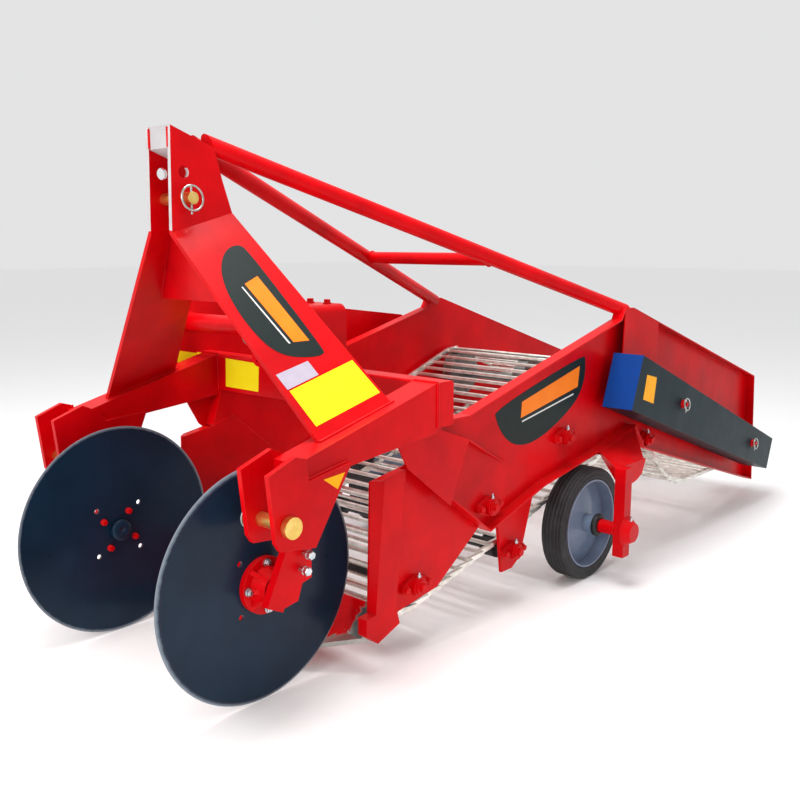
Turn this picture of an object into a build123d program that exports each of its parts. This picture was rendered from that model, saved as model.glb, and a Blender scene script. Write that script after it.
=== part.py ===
from build123d import *
from math import asin, atan2, cos, degrees, hypot, pi, radians, sin, tan
import os

os.makedirs("parts", exist_ok=True)

# Potato harvester carried on a three-point hitch: two coulter discs, a digging share and a rod web.
# Millimetres. +X is the machine's left, +Y its rear, +Z up, and the floor is at Z = 0.
# Places along the machine are counted rearward from the line of the lower hitch pins.

# Hitch
lower_pin_span = 782.0
lower_pin_z = 427.0
lower_pin_r = 14.0
lower_pin_head_r = 21.0
lower_pin_head = 14.0
lower_pin_tail = 22.0
top_pin_y = 78.0
top_pin_z = 1037.0
top_pin_r = 12.7
top_pin_tail = 26.0
top_pin_head_r = 19.0
top_pin_head = 7.0
spare_hole_y = 74.0
spare_hole_z = 1090.0
pin_fit = 0.05
joint_gap = 0.3
clevis_plate = 12.0
clevis_outer = ((-46.0, 531.0), (-31.0, 400.0), (-20.0, 383.0), (67.0, 370.0), (166.0, 520.0), (52.0, 502.0),
                (46.0, 548.0), (20.0, 556.0))
clevis_inner = ((-46.0, 531.0), (-31.0, 400.0), (-20.0, 383.0), (140.0, 366.0), (206.0, 520.0), (90.0, 512.0),
                (70.0, 540.0), (30.0, 558.0))

# Arms and cross beam
arm_width = 68.0
arm_front_y = 34.0
arm_front_z = (490.0, 538.0)
arm_knee = (152.0, 507.0)
arm_root_z = 534.0
beam_front_y = 443.0
beam_depth = 56.0
beam_z = (545.0, 645.0)
beam_round = 6.0
beam_right_x = -455.0

# Headstock
head_half = 44.0
head_plate = 10.0
head_top = ((45.0, 1183.0), (154.0, 1144.0), (172.0, 1079.0))
head_bend = ((40.0, 966.0), (196.0, 1010.0))
head_foot = ((122.0, 550.0), (331.0, 593.0))
head_splay = 40.3
cap_height = 45.0
cap_y = (46.0, 112.0)
throat_top = (92.0, 985.0)
throat_bottom = (156.0, 817.0)
throat_plate = 8.0

# Coulters
disc_y = 66.0
disc_r = 254.0
disc_lift = 2.0
disc_x = 272.0
disc_plate = 6.0
disc_bevel = 9.0
disc_edge = 1.0
disc_eye_r = 20.0
disc_hole_r = 6.0
disc_hole_circle_r = 80.0
disc_hole_turns = (45, 135, 225, 315)
hub_flange_r = 60.0
hub_flange = 13.0
hub_boss_r = (42.0, 33.0)
hub_length = 45.0
hub_rib = 9.0
hub_ribs = 8
spindle_r = 15.0
spindle_collar_r = 24.0
spindle_collar = 7.0
spindle_end_gap = 5.0
shank_foot = (52.0, 250.0)
shank_lean = 26.0
shank_width = 44.0
shank_plate = 20.0
shank_length = 240.0
shank_toe = 28.0
shank_clamp = ((96.0, 344.0), (138.0, 344.0), (138.0, 268.0), (112.0, 262.0), (100.0, 228.0), (72.0, 224.0))

# Side panels
panel_x = 350.0
panel_plate = 4.0
panel_flange = 31.0
panel_front = ((416.0, 452.0), (703.0, 237.0))
panel_belly = ((943.0, 306.0), (1228.0, 350.0), (1440.0, 394.0), (1500.0, 317.0))
panel_tail = ((2404.0, 40.0), (2366.0, 450.0))
panel_peak = ((1396.0, 757.0), (1345.0, 757.0), (1326.0, 726.0))
panel_top = ((927.0, 626.0), (613.0, 545.0))
corner_plate = ((391.0, 456.0), (542.0, 340.0), (611.0, 487.0), (506.0, 526.0))
corner_front_y = 352.0
fin = ((611.0, 487.0), (799.0, 393.0))
fin_lap = 8.0
peak_plate = ((1338.0, 580.0), (1556.0, 560.0), (1556.0, 704.0), (1396.0, 756.0), (1346.0, 756.0))
hanger_outline = ((770.0, 300.0), (800.0, 96.0), (846.0, 96.0), (884.0, 118.0), (958.0, 335.0))
hanger_plate = 8.0
tie_places = ((1000.0, 330.0), (1900.0, 250.0))
tie_r = 20.0

# Front sheets, posts and share
sheet_plate = 5.0
sheet_outline = ((308.0, 436.0), (416.0, 452.0), (480.0, 470.0), (740.0, 262.0), (694.0, 240.0),
                 (536.0, 133.0), (400.0, 114.0), (307.0, 72.0), (272.0, 98.0), (272.0, 137.0), (300.0, 140.0))
post_outline = ((272.0, 98.0), (307.0, 72.0), (379.0, 98.0), (366.0, 140.0), (399.0, 450.0),
                (331.0, 438.0), (301.0, 140.0), (272.0, 137.0))
post_depth = 22.0
post_recess = ((313.0, 150.0), (352.0, 150.0), (383.0, 438.0), (343.0, 430.0))
share_tip_y = 40.0
share_wing = (300.0, 70.0)
share_lip = (328.0, 150.0)
share_plate = 10.0

# Rod web: it runs round these wheels, given by place, height and radius to the rods' middle.
# A radius under 0 marks a roller that carries the returning web from outside the loop.
rod_r = 5.5
rod_pitch = 45.0
rod_half = 326.0
hook_shift = 8.0
hook_thick = 9.0
hook_eye = 8.0
hook_root = 4.5
hook_lap = 5.0
idler = (450.0, 163.0, 70.0)
driver = (1430.0, 500.0, 80.0)
rear_turn = (2254.0, 193.0, 75.0)
sag_low = (1934.0, 122.0)
sag_r = 300.0
back_roller = (1546.0, 334.0, -35.0)
low_roller = (839.0, 148.0, -35.0)
carrier_y = (725.0, 1070.0)
carrier_r = 33.0
shaft_r = 15.0
shaft_hole_gap = 3.0
wheel_face = 40.0
wheel_x = 290.0
bearing_boss_r = 25.0
bearing_nose_r = 22.0
bearing_ear = 38.0
bearing_ear_r = 12.0
bearing_plate = 10.0
bearing_depth = 24.0

# Stays
stay_r = 20.0
stay_front = (33.0, 184.0, 1141.0)
stay_rear = (365.0, 1374.0, 748.0)
stay_overrun = 60.0
stay_end_cut = 80.0
brace_y = 908.0
brace_r = 17.0

# Drive
gearbox_half = 95.0
gearbox_y = (352.0, 492.0)
gearbox_top = 800.0
gearbox_round = 22.0
drive_y = 422.0
drive_z = 730.0
stub_r = 17.45
stub_length = 90.0
stub_collar_r = 38.0
stub_collar = 18.0
cross_tube_r = 25.0
case_x = (455.0, 535.0)
case_outline = ((352.0, 826.0), (824.0, 760.0), (1304.0, 699.0), (1506.0, 610.0), (1506.0, 450.0),
                (1410.0, 412.0), (860.0, 545.0), (352.0, 545.0))
case_round = 28.0
case_hole = (954.0, 668.0)
case_hole_r = 34.0
case_hole_depth = 20.0
guard_outline = ((1227.0, 484.0), (1283.0, 634.0), (2331.0, 227.0), (2290.0, 120.0))
guard_x = (386.0, 480.0)
guard_wall = 3.0
guard_posts = ((1551.0, 460.0), (2131.0, 243.0))
guard_post_r = 8.0
chain_x = 418.0
chain_width = 14.0
chain_thick = 9.0
sprocket_r = 42.0
sprocket_plate = 7.0

# Wheels
wheel_y = 1150.0
tyre_r = 160.0
tyre_x = (352.0, 412.0)
tyre_shoulder_r = 142.0
rim_r = 126.0
rim_wall = 5.0
rim_x = (354.0, 410.0)
rim_dish_x = (368.0, 386.0)
rim_hub_r = 26.0
rim_hub_x = (362.0, 432.0)
axle_r = 12.5
axle_start_x = 358.0
axle_collar_r = 19.0
bracket_pad_x = 358.0
bracket_pad_end_y = 1430.0
bracket_plate = 8.0
bracket_nose = 34.0
wheel_post_x = (488.0, 520.0)
wheel_post = 36.0
wheel_post_wall = 4.0
wheel_post_below = 73.0
gusset = ((58.0, 118.0), (92.0, 124.0), (122.0, 137.0))
gusset_end = 143.0
bracket_boss_r = (40.0, 26.0)
bracket_end_x = 543.0

# The lower hitch pins stand where the machine's front and rear ends lie evenly about the origin
front_reach = disc_y - disc_r
rear_reach = panel_tail[0][0]
hitch_y = -(front_reach + rear_reach) / 2
disc_z = disc_r + disc_lift
wheel_z = tyre_r
arm_x = (lower_pin_span - arm_width) / 2
face_x = panel_x + panel_plate
beam_back_y = beam_front_y + beam_depth
rod_flat = rod_r * cos(pi / 6)
web_seat = rod_flat + joint_gap

# Side views are drawn on this plane: first along the machine, then up, and +X out of the page
side = Plane(origin=(0, hitch_y, 0), x_dir=(0, 1, 0), z_dir=(1, 0, 0))
hands = (("left", False), ("right", True))


def plate_across(outline, start, end, mode=Mode.ADD):
    """Flat plate with this side view, from one place across the machine to another."""
    with BuildSketch(side.offset(start), mode=Mode.PRIVATE) as view:
        with BuildLine():
            Polyline(*outline, close=True)
        make_face()
    extrude(view.sketch, amount=end - start, mode=mode)


def bar_across(place, radius, start, end, mode=Mode.ADD):
    """Round bar along X, from one place across the machine to another."""
    with Locations((start, hitch_y + place[0], place[1])):
        Cylinder(
            radius,
            end - start,
            rotation=(0, 90, 0),
            align=(Align.CENTER, Align.CENTER, Align.MIN),
            mode=mode,
        )


def height_on(y, start, end):
    """Height of the straight line between two side-view points at one place along the machine."""
    return start[1] + (end[1] - start[1]) * (y - start[0]) / (end[0] - start[0])


def headstock_outline():
    """Side view of the headstock plates, from the top corner round to the front of the bend."""
    return [*head_top, head_bend[1], head_foot[1], head_foot[0], head_bend[0]]


def panel_outline():
    """Side view of a side panel, from its front corner along the belly and back over the top."""
    under_arm = ((beam_front_y, beam_z[0]), (beam_front_y, arm_root_z))
    return [*panel_front, *panel_belly, *panel_tail, *panel_peak, *panel_top, *under_arm]


def straight_between(start, end):
    """Ends and heading of the straight run from one wheel of a loop to the next."""
    reach = hypot(end[0] - start[0], end[1] - start[1])
    bearing = atan2(end[1] - start[1], end[0] - start[0])
    heading = bearing - asin((start[2] - end[2]) / reach)
    leaves = (start[0] - start[2] * sin(heading), start[1] + start[2] * cos(heading))
    meets = (end[0] - end[2] * sin(heading), end[1] + end[2] * cos(heading))
    return leaves, meets, heading


def loop_path(wheels):
    """Closed path of straight runs and arcs round a list of wheels, in the side view."""
    following = wheels[1:] + wheels[:1]
    runs = [straight_between(start, end) for start, end in zip(wheels, following)]
    with BuildLine(Plane.XY) as path:
        for run, after, wheel in zip(runs, runs[1:] + runs[:1], following):
            Line(run[0], run[1])
            turn = (after[2] - run[2] + pi) % (2 * pi) - pi
            if wheel[2] > 0 and turn > 0:
                turn -= 2 * pi
            middle = run[2] + turn / 2
            crown = (wheel[0] - wheel[2] * sin(middle), wheel[1] + wheel[2] * cos(middle))
            ThreePointArc(run[1], crown, after[0])
    return path.wire()


# The web's path, and the carrier wheels that bear against the rods on its rising run
web_path = loop_path([idler, driver, rear_turn, (sag_low[0], sag_low[1] + sag_r, sag_r), back_roller, low_roller])
rising = straight_between(idler, driver)
carrier_drop = (carrier_r + web_seat) / cos(rising[2])
carriers = [(y, height_on(y, rising[0], rising[1]) - carrier_drop) for y in carrier_y]

# Bend line of the headstock plates, and the angle of the parts below it
bend_tilt = atan2(head_bend[1][1] - head_bend[0][1], head_bend[1][0] - head_bend[0][0])
bend_plane = Plane(
    origin=(0, hitch_y + head_bend[0][0], head_bend[0][1]),
    x_dir=(1, 0, 0),
    z_dir=(0, cos(bend_tilt), sin(bend_tilt)),
)
splay = radians(head_splay)
head_reach = head_bend[0][1]

for name, turned in hands:
    # Bent headstock plate: upright above the bend, splayed below it, and standing on the arm
    with BuildPart() as plate:
        with BuildSketch(bend_plane.offset(-head_reach / 2)):
            with BuildLine():
                Polyline(
                    (head_half, -head_reach),
                    (head_half, 0),
                    (head_half + head_reach * sin(splay), head_reach * cos(splay)),
                )
                offset(amount=head_plate, side=Side.LEFT, kind=Kind.INTERSECTION)
            make_face()
        extrude(amount=head_reach)
        plate_across(headstock_outline(), 0, head_reach, mode=Mode.INTERSECT)
        bar_across((top_pin_y, top_pin_z), top_pin_r + pin_fit, 0, head_reach, mode=Mode.SUBTRACT)
        bar_across((spare_hole_y, spare_hole_z), top_pin_r + pin_fit, 0, head_reach, mode=Mode.SUBTRACT)
        below_arm_top = (
            (arm_front_y, arm_front_z[1]),
            (beam_front_y, beam_z[1]),
            (beam_front_y, 0),
            (arm_front_y, 0),
        )
        plate_across(below_arm_top, 0, head_reach, mode=Mode.SUBTRACT)
        if turned:
            mirror(about=Plane.YZ, mode=Mode.REPLACE)
    plate.part.label = "headstock_" + name
    export_step(plate.part, f"parts/{plate.part.label}.step")

# Spacer block between the headstock plates' top ends
with BuildPart() as cap:
    inner_half = head_half - head_plate
    front_z = height_on(cap_y[0], head_top[0], head_top[1])
    rear_z = height_on(cap_y[1], head_top[0], head_top[1])
    block = (
        (cap_y[0], front_z),
        (cap_y[1], rear_z),
        (cap_y[1], rear_z - cap_height),
        (cap_y[0], front_z - cap_height),
    )
    plate_across(block, -inner_half, inner_half)
cap.part.label = "headstock_cap"
export_step(cap.part, "parts/headstock_cap.step")

# Plate across the throat, between the splayed parts of the headstock
with BuildPart() as throat:
    with BuildSketch(side.offset(-head_reach)):
        with BuildLine():
            Polyline(throat_top, throat_bottom)
            offset(amount=throat_plate, side=Side.LEFT)
        make_face()
    extrude(amount=2 * head_reach)
    with BuildSketch(bend_plane.offset(-head_reach)):
        with BuildLine():
            inner_half = head_half - head_plate
            inner_bend = head_plate * tan(splay / 2)
            spread = inner_half + head_reach * sin(splay)
            drop = inner_bend + head_reach * cos(splay)
            Polyline(
                (inner_half, -head_reach),
                (inner_half, inner_bend),
                (spread, drop),
                (-spread, drop),
                (-inner_half, inner_bend),
                (-inner_half, -head_reach),
                close=True,
            )
        make_face()
    extrude(amount=2 * head_reach, mode=Mode.INTERSECT)
throat.part.label = "headstock_throat_plate"
export_step(throat.part, "parts/headstock_throat_plate.step")

# Upper hitch pin, headed on the right and held by a lynch pin on the left
with BuildPart() as top_pin:
    top_pin_place = (top_pin_y, top_pin_z)
    head_x = -head_half - joint_gap
    bar_across(top_pin_place, top_pin_r, head_x, head_half + top_pin_tail)
    bar_across(top_pin_place, top_pin_head_r, head_x - top_pin_head, head_x)
top_pin.part.label = "top_link_pin"
export_step(top_pin.part, "parts/top_link_pin.step")

# Square cross beam, which runs out on the right to carry the drive case
with BuildPart() as beam:
    square = (
        (beam_front_y, beam_z[0]),
        (beam_back_y, beam_z[0]),
        (beam_back_y, beam_z[1]),
        (beam_front_y, beam_z[1]),
    )
    plate_across(square, beam_right_x, arm_x + arm_width)
    fillet(beam.edges().filter_by(Axis.X), beam_round)
beam.part.label = "cross_beam"
export_step(beam.part, "parts/cross_beam.step")

for name, turned in hands:
    # Box-section hitch arm that deepens towards the beam
    with BuildPart() as arm:
        outline = (
            (arm_front_y, arm_front_z[0]),
            arm_knee,
            (beam_front_y, arm_root_z),
            (beam_front_y, beam_z[1]),
            (arm_front_y, arm_front_z[1]),
        )
        plate_across(outline, arm_x, arm_x + arm_width)
        if turned:
            mirror(about=Plane.YZ, mode=Mode.REPLACE)
    arm.part.label = "hitch_arm_" + name
    export_step(arm.part, f"parts/{arm.part.label}.step")

    # Clevis: two plates on the arm's sides, bored for the lower pin; the inner one carries the coulter
    with BuildPart() as clevis:
        plate_across(clevis_inner, arm_x - clevis_plate, arm_x)
        plate_across(clevis_outer, arm_x + arm_width, arm_x + arm_width + clevis_plate)
        bar_across((0, lower_pin_z), lower_pin_r + pin_fit, 0, lower_pin_span, mode=Mode.SUBTRACT)
        if turned:
            mirror(about=Plane.YZ, mode=Mode.REPLACE)
    clevis.part.label = "clevis_" + name
    export_step(clevis.part, f"parts/{clevis.part.label}.step")

    # Lower hitch pin with its head outboard
    with BuildPart() as pin:
        head_x = arm_x + arm_width + clevis_plate + joint_gap
        bar_across((0, lower_pin_z), lower_pin_r, arm_x - clevis_plate - lower_pin_tail, head_x)
        bar_across((0, lower_pin_z), lower_pin_head_r, head_x, head_x + lower_pin_head)
        if turned:
            mirror(about=Plane.YZ, mode=Mode.REPLACE)
    pin.part.label = "lower_pin_" + name
    export_step(pin.part, f"parts/{pin.part.label}.step")

    # Coulter shank: a flat bar with a clamp block behind it and the disc's spindle at its foot
    with BuildPart() as shank:
        outer_x = arm_x - clevis_plate
        inner_x = outer_x - shank_plate
        lean = radians(shank_lean)
        half = shank_width / 2
        across = (half * cos(lean), -half * sin(lean))
        foot = (shank_foot[0] - shank_toe * sin(lean), shank_foot[1] - shank_toe * cos(lean))
        top = (shank_foot[0] + shank_length * sin(lean), shank_foot[1] + shank_length * cos(lean))
        bar = (
            (foot[0] - across[0], foot[1] - across[1]),
            (foot[0] + across[0], foot[1] + across[1]),
            (top[0] + across[0], top[1] + across[1]),
            (top[0] - across[0], top[1] - across[1]),
        )
        plate_across(bar, inner_x, outer_x)
        plate_across(shank_clamp, inner_x, outer_x)
        bar_across((disc_y, disc_z), hub_boss_r[1], inner_x, outer_x)
        hub_end_x = disc_x - disc_plate / 2 - spindle_end_gap
        bar_across((disc_y, disc_z), spindle_r, hub_end_x - spindle_collar, inner_x)
        bar_across((disc_y, disc_z), spindle_collar_r, hub_end_x - spindle_collar, hub_end_x)
        if turned:
            mirror(about=Plane.YZ, mode=Mode.REPLACE)
    shank.part.label = "coulter_shank_" + name
    export_step(shank.part, f"parts/{shank.part.label}.step")

    # Cast coulter hub: a flange, a tapered boss and ribs, bored to run on the spindle
    with BuildPart() as hub:
        flange_x = disc_x + disc_plate / 2
        bar_across((disc_y, disc_z), hub_flange_r, flange_x, flange_x + hub_flange)
        boss_base = Plane(
            origin=(flange_x + hub_flange, hitch_y + disc_y, disc_z), x_dir=(0, 1, 0), z_dir=(1, 0, 0)
        )
        with BuildSketch(boss_base):
            Circle(hub_boss_r[0])
        with BuildSketch(boss_base.offset(hub_length - hub_flange)):
            Circle(hub_boss_r[1])
        loft()
        for step in range(hub_ribs):
            angle = 2 * pi * step / hub_ribs
            rib_plane = Plane(
                origin=boss_base.origin,
                x_dir=(0, cos(angle), sin(angle)),
                z_dir=(0, sin(angle), -cos(angle)),
            )
            with BuildSketch(rib_plane):
                with BuildLine():
                    Polyline(
                        (spindle_r + hub_rib, 0),
                        (hub_flange_r - hub_rib / 2, 0),
                        (hub_boss_r[1], hub_length - hub_flange - hub_rib),
                        (spindle_r + hub_rib, hub_length - hub_flange - hub_rib),
                        close=True,
                    )
                make_face()
            extrude(amount=hub_rib / 2, both=True)
        bar_across((disc_y, disc_z), spindle_r + pin_fit, 0, panel_x, mode=Mode.SUBTRACT)
        if turned:
            mirror(about=Plane.YZ, mode=Mode.REPLACE)
    hub.part.label = "coulter_hub_" + name
    export_step(hub.part, f"parts/{hub.part.label}.step")

    # Flat coulter disc with a ground edge, a centre eye and four spare holes
    with BuildPart() as disc:
        disc_faces = (disc_x - disc_plate / 2, disc_x + disc_plate / 2)
        bar_across((disc_y, disc_z), disc_r, *disc_faces)
        rim_edges = disc.edges().filter_by(GeomType.CIRCLE).sort_by(Axis.X)
        chamfer(rim_edges[-1], disc_bevel, disc_plate - disc_edge, reference=disc.faces().sort_by(Axis.X)[-1])
        bar_across((disc_y, disc_z), disc_eye_r, *disc_faces, mode=Mode.SUBTRACT)
        for turn in disc_hole_turns:
            place = (
                disc_y + disc_hole_circle_r * cos(radians(turn)),
                disc_z + disc_hole_circle_r * sin(radians(turn)),
            )
            bar_across(place, disc_hole_r, *disc_faces, mode=Mode.SUBTRACT)
        if turned:
            mirror(about=Plane.YZ, mode=Mode.REPLACE)
    disc.part.label = "coulter_disc_" + name
    export_step(disc.part, f"parts/{disc.part.label}.step")

for name, turned in hands:
    # Folded side panel: a web with a flange turned out all round, plated over at the peak and under
    # the arm, with a tapered fin behind the front plate and the low roller's hanger welded inside
    with BuildPart() as panel:
        plate_across(panel_outline(), panel_x, face_x + panel_flange)
        with BuildSketch(side.offset(face_x)) as pocket:
            with BuildLine():
                Polyline(*panel_outline(), close=True)
            make_face()
            offset(amount=-panel_plate, kind=Kind.INTERSECTION, mode=Mode.REPLACE)
        extrude(amount=panel_flange, mode=Mode.SUBTRACT)
        plate_across(peak_plate, face_x + panel_flange - panel_plate, face_x + panel_flange)
        under_hitch = (
            (beam_back_y, beam_z[0]),
            (beam_front_y, beam_z[0]),
            (beam_front_y, arm_root_z),
            (corner_front_y, height_on(corner_front_y, arm_knee, (beam_front_y, arm_root_z))),
        )
        plate_across([*corner_plate, *under_hitch], face_x + panel_flange - panel_plate, face_x + panel_flange)
        fin_run = (fin[1][0] - fin[0][0], fin[1][1] - fin[0][1])
        fin_plane = Plane(
            origin=(face_x, hitch_y + fin[0][0], fin[0][1]),
            x_dir=(0, *fin_run),
            z_dir=(0, fin_run[1], -fin_run[0]),
        )
        with BuildSketch(fin_plane):
            with BuildLine():
                Polyline((-fin_lap, 0), (hypot(*fin_run), 0), (0, panel_flange), (-fin_lap, panel_flange), close=True)
            make_face()
        extrude(amount=panel_plate)
        plate_across(hanger_outline, panel_x - hanger_plate, panel_x)
        for wheel in (driver, rear_turn, back_roller, low_roller):
            hole_r = shaft_r + shaft_hole_gap
            bar_across(wheel[:2], hole_r, panel_x - hanger_plate, face_x + panel_plate, mode=Mode.SUBTRACT)
        for place in carriers:
            bar_across(place, shaft_r + shaft_hole_gap, panel_x, face_x, mode=Mode.SUBTRACT)
        if turned:
            mirror(about=Plane.YZ, mode=Mode.REPLACE)
    panel.part.label = "side_panel_" + name
    export_step(panel.part, f"parts/{panel.part.label}.step")

    # Front sheet that closes the side of the web, with the post and foot that hold the share
    with BuildPart() as sheet:
        plate_across(sheet_outline, panel_x - sheet_plate, panel_x)
        plate_across(post_outline, panel_x, panel_x + post_depth)
        plate_across(post_recess, panel_x, panel_x + post_depth - panel_plate, mode=Mode.SUBTRACT)
        for ahead, behind in ((sheet_outline[0], post_outline[5]), (sheet_outline[-1], post_outline[6])):
            with BuildSketch(Plane((0, hitch_y, behind[1]))):
                with BuildLine():
                    Polyline(
                        (panel_x, ahead[0]),
                        (panel_x, behind[0]),
                        (panel_x + post_depth, behind[0]),
                        close=True,
                    )
                make_face()
        loft()
        hole_r = shaft_r + shaft_hole_gap
        bar_across(idler[:2], hole_r, panel_x - sheet_plate, panel_x, mode=Mode.SUBTRACT)
        if turned:
            mirror(about=Plane.YZ, mode=Mode.REPLACE)
    sheet.part.label = "front_sheet_" + name
    export_step(sheet.part, f"parts/{sheet.part.label}.step")

# Pointed share: a rising blade with an upturned lip that feeds the web
with BuildPart() as share:
    half = panel_x - sheet_plate
    with BuildSketch(side.offset(-half)):
        with BuildLine():
            Polyline((share_tip_y, 0), share_wing, share_lip)
            offset(amount=share_plate, side=Side.LEFT, kind=Kind.INTERSECTION)
        make_face()
    extrude(amount=2 * half)
    with BuildSketch(Plane.XY):
        with BuildLine():
            Polyline(
                (0, hitch_y + share_tip_y),
                (half, hitch_y + share_wing[0]),
                (half, hitch_y + share_lip[0]),
                (-half, hitch_y + share_lip[0]),
                (-half, hitch_y + share_wing[0]),
                close=True,
            )
        make_face()
    extrude(amount=share_lip[1] + share_plate, mode=Mode.INTERSECT)
share.part.label = "share"
export_step(share.part, "parts/share.step")

# Rod web: round rods, each forged at both ends into a flat hook that leans inward to grip the next
# rod just inside that rod's own hook, so that the hooks overlap like a herringbone
with BuildPart() as web:
    rods = round(web_path.length / rod_pitch)
    spots = [web_path.position_at(step / rods) for step in range(rods)]
    with BuildSketch(side):
        for step in range(rods):
            heading = web_path.tangent_at(step / rods)
            turn = degrees(atan2(heading.Y, heading.X))
            with Locations(Location((spots[step].X, spots[step].Y, 0), (0, 0, turn))):
                RegularPolygon(rod_r, 6)
    extrude(amount=rod_half - hook_shift / 2)
    lean = atan2(hook_shift, rod_pitch)
    eyes = []
    for own, gripped in zip(spots, spots[1:] + spots[:1]):
        back = Vector(0, own.X - gripped.X, own.Y - gripped.Y).normalized()
        eyes.append(
            Plane(
                origin=(rod_half - hook_shift / 2, hitch_y + gripped.X, gripped.Y),
                x_dir=back * cos(lean) + Vector(sin(lean), 0, 0),
                z_dir=Vector(cos(lean), 0, 0) - back * sin(lean),
            )
        )
    with BuildSketch(*eyes):
        with BuildLine():
            Polyline(
                (-hook_eye, -hook_eye),
                (-hook_eye, hook_eye),
                (rod_pitch + hook_lap, hook_root),
                (rod_pitch + hook_lap, -hook_root),
                close=True,
            )
        make_face()
    extrude(amount=hook_thick / 2, both=True)
    mirror(about=Plane.YZ)
web.part.label = "rod_web"
export_step(web.part, "parts/rod_web.step")

# Shafts with the wheels that the rods run on: the idler, the carriers and the return rollers
with BuildPart() as rollers:
    turned_radii = [(idler[:2], idler[2])]
    turned_radii += [(place, carrier_r + web_seat) for place in carriers]
    turned_radii += [(back_roller[:2], -back_roller[2]), (low_roller[:2], -low_roller[2])]
    shaft_end = face_x + bearing_plate
    for place, radius in turned_radii:
        bar_across(place, shaft_r, -shaft_end, shaft_end)
        for centre in (-wheel_x, wheel_x):
            bar_across(place, radius - web_seat, centre - wheel_face / 2, centre + wheel_face / 2)
rollers.part.label = "web_rollers"
export_step(rollers.part, "parts/web_rollers.step")

# Drive shaft at the peak and turning shaft at the tail, with the side chain's wheels on the left
for label, wheel, right_end in (("drive_shaft", driver, -case_x[0]), ("tail_shaft", rear_turn, -shaft_end)):
    with BuildPart() as shaft:
        bar_across(wheel[:2], shaft_r, right_end, chain_x + chain_width + joint_gap)
        for centre in (-wheel_x, 0, wheel_x):
            bar_across(wheel[:2], wheel[2] - web_seat, centre - wheel_face / 2, centre + wheel_face / 2)
        sprocket_x = chain_x + (chain_width - sprocket_plate) / 2
        bar_across(wheel[:2], sprocket_r, sprocket_x, sprocket_x + sprocket_plate)
    shaft.part.label = label
    export_step(shaft.part, f"parts/{label}.step")

# Side chain from the drive shaft to the tail shaft
with BuildPart() as chain:
    for radius, mode in ((sprocket_r + joint_gap + chain_thick, Mode.ADD), (sprocket_r + joint_gap, Mode.SUBTRACT)):
        ends = ((*driver[:2], radius), (*rear_turn[:2], radius))
        with BuildSketch(side.offset(chain_x), mode=Mode.PRIVATE) as band:
            for end in ends:
                with Locations(end[:2]):
                    Circle(end[2])
            make_hull()
        extrude(band.sketch, amount=chain_width, mode=mode)
chain.part.label = "side_chain"
export_step(chain.part, "parts/side_chain.step")

for name, turned in hands:
    # Flanged bearings on the panel, the front sheet and the hanger
    with BuildPart() as bearings:
        seats = [(idler[:2], panel_x), (low_roller[:2], panel_x)]
        seats += [(wheel[:2], face_x) for wheel in (driver, rear_turn, back_roller)]
        seats += [(place, face_x) for place in carriers]
        for place, seat in seats:
            with BuildSketch(side.offset(seat), mode=Mode.PRIVATE) as flange:
                with Locations(place):
                    Circle(bearing_boss_r)
                for ear in (-bearing_ear, bearing_ear):
                    with Locations((place[0] + ear, place[1])):
                        Circle(bearing_ear_r)
                make_hull()
            extrude(flange.sketch, amount=bearing_plate)
            bar_across(place, bearing_nose_r, seat, seat + bearing_depth)
            bar_across(place, shaft_r + pin_fit, seat, seat + bearing_depth, mode=Mode.SUBTRACT)
        if turned:
            mirror(about=Plane.YZ, mode=Mode.REPLACE)
    bearings.part.label = "bearings_" + name
    export_step(bearings.part, f"parts/{bearings.part.label}.step")

# Round tubes that tie the panels together inside the web's loop
with BuildPart() as ties:
    for place in tie_places:
        bar_across(place, tie_r, -panel_x, panel_x)
ties.part.label = "panel_ties"
export_step(ties.part, "parts/panel_ties.step")

stays = {}
for name, turned in hands:
    # Stay tube from the headstock's rear edge to the panel's peak
    with BuildPart() as stay:
        start = Vector(stay_front[0], hitch_y + stay_front[1], stay_front[2])
        end = Vector(stay_rear[0], hitch_y + stay_rear[1], stay_rear[2])
        aim = (end - start).normalized()
        with BuildSketch(Plane(origin=start - aim * stay_overrun, z_dir=aim)):
            Circle(stay_r)
        extrude(amount=(end - start).length + stay_overrun)
        rear_edge = (head_top[1], head_top[2])
        high = stay_front[2] + stay_end_cut
        low = stay_front[2] - stay_end_cut
        slope = (rear_edge[1][0] - rear_edge[0][0]) / (rear_edge[1][1] - rear_edge[0][1])
        ahead = (
            (rear_edge[0][0] + slope * (high - rear_edge[0][1]), high),
            (rear_edge[0][0] + slope * (low - rear_edge[0][1]), low),
            (0, low),
            (0, high),
        )
        plate_across(ahead, -head_reach, head_reach, mode=Mode.SUBTRACT)
        plate_across(panel_outline(), panel_x, face_x + panel_flange, mode=Mode.SUBTRACT)
        if turned:
            mirror(about=Plane.YZ, mode=Mode.REPLACE)
    stay.part.label = "stay_" + name
    stays[name] = stay.part
    export_step(stay.part, f"parts/{stay.part.label}.step")

# Brace tube between the stays
with BuildPart() as brace:
    share_of_stay = (brace_y - stay_front[1]) / (stay_rear[1] - stay_front[1])
    brace_x = stay_front[0] + share_of_stay * (stay_rear[0] - stay_front[0])
    brace_z = stay_front[2] + share_of_stay * (stay_rear[2] - stay_front[2])
    bar_across((brace_y, brace_z), brace_r, -brace_x, brace_x)
    for name, turned in hands:
        add(stays[name], mode=Mode.SUBTRACT)
brace.part.label = "stay_brace"
export_step(brace.part, "parts/stay_brace.step")

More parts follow.
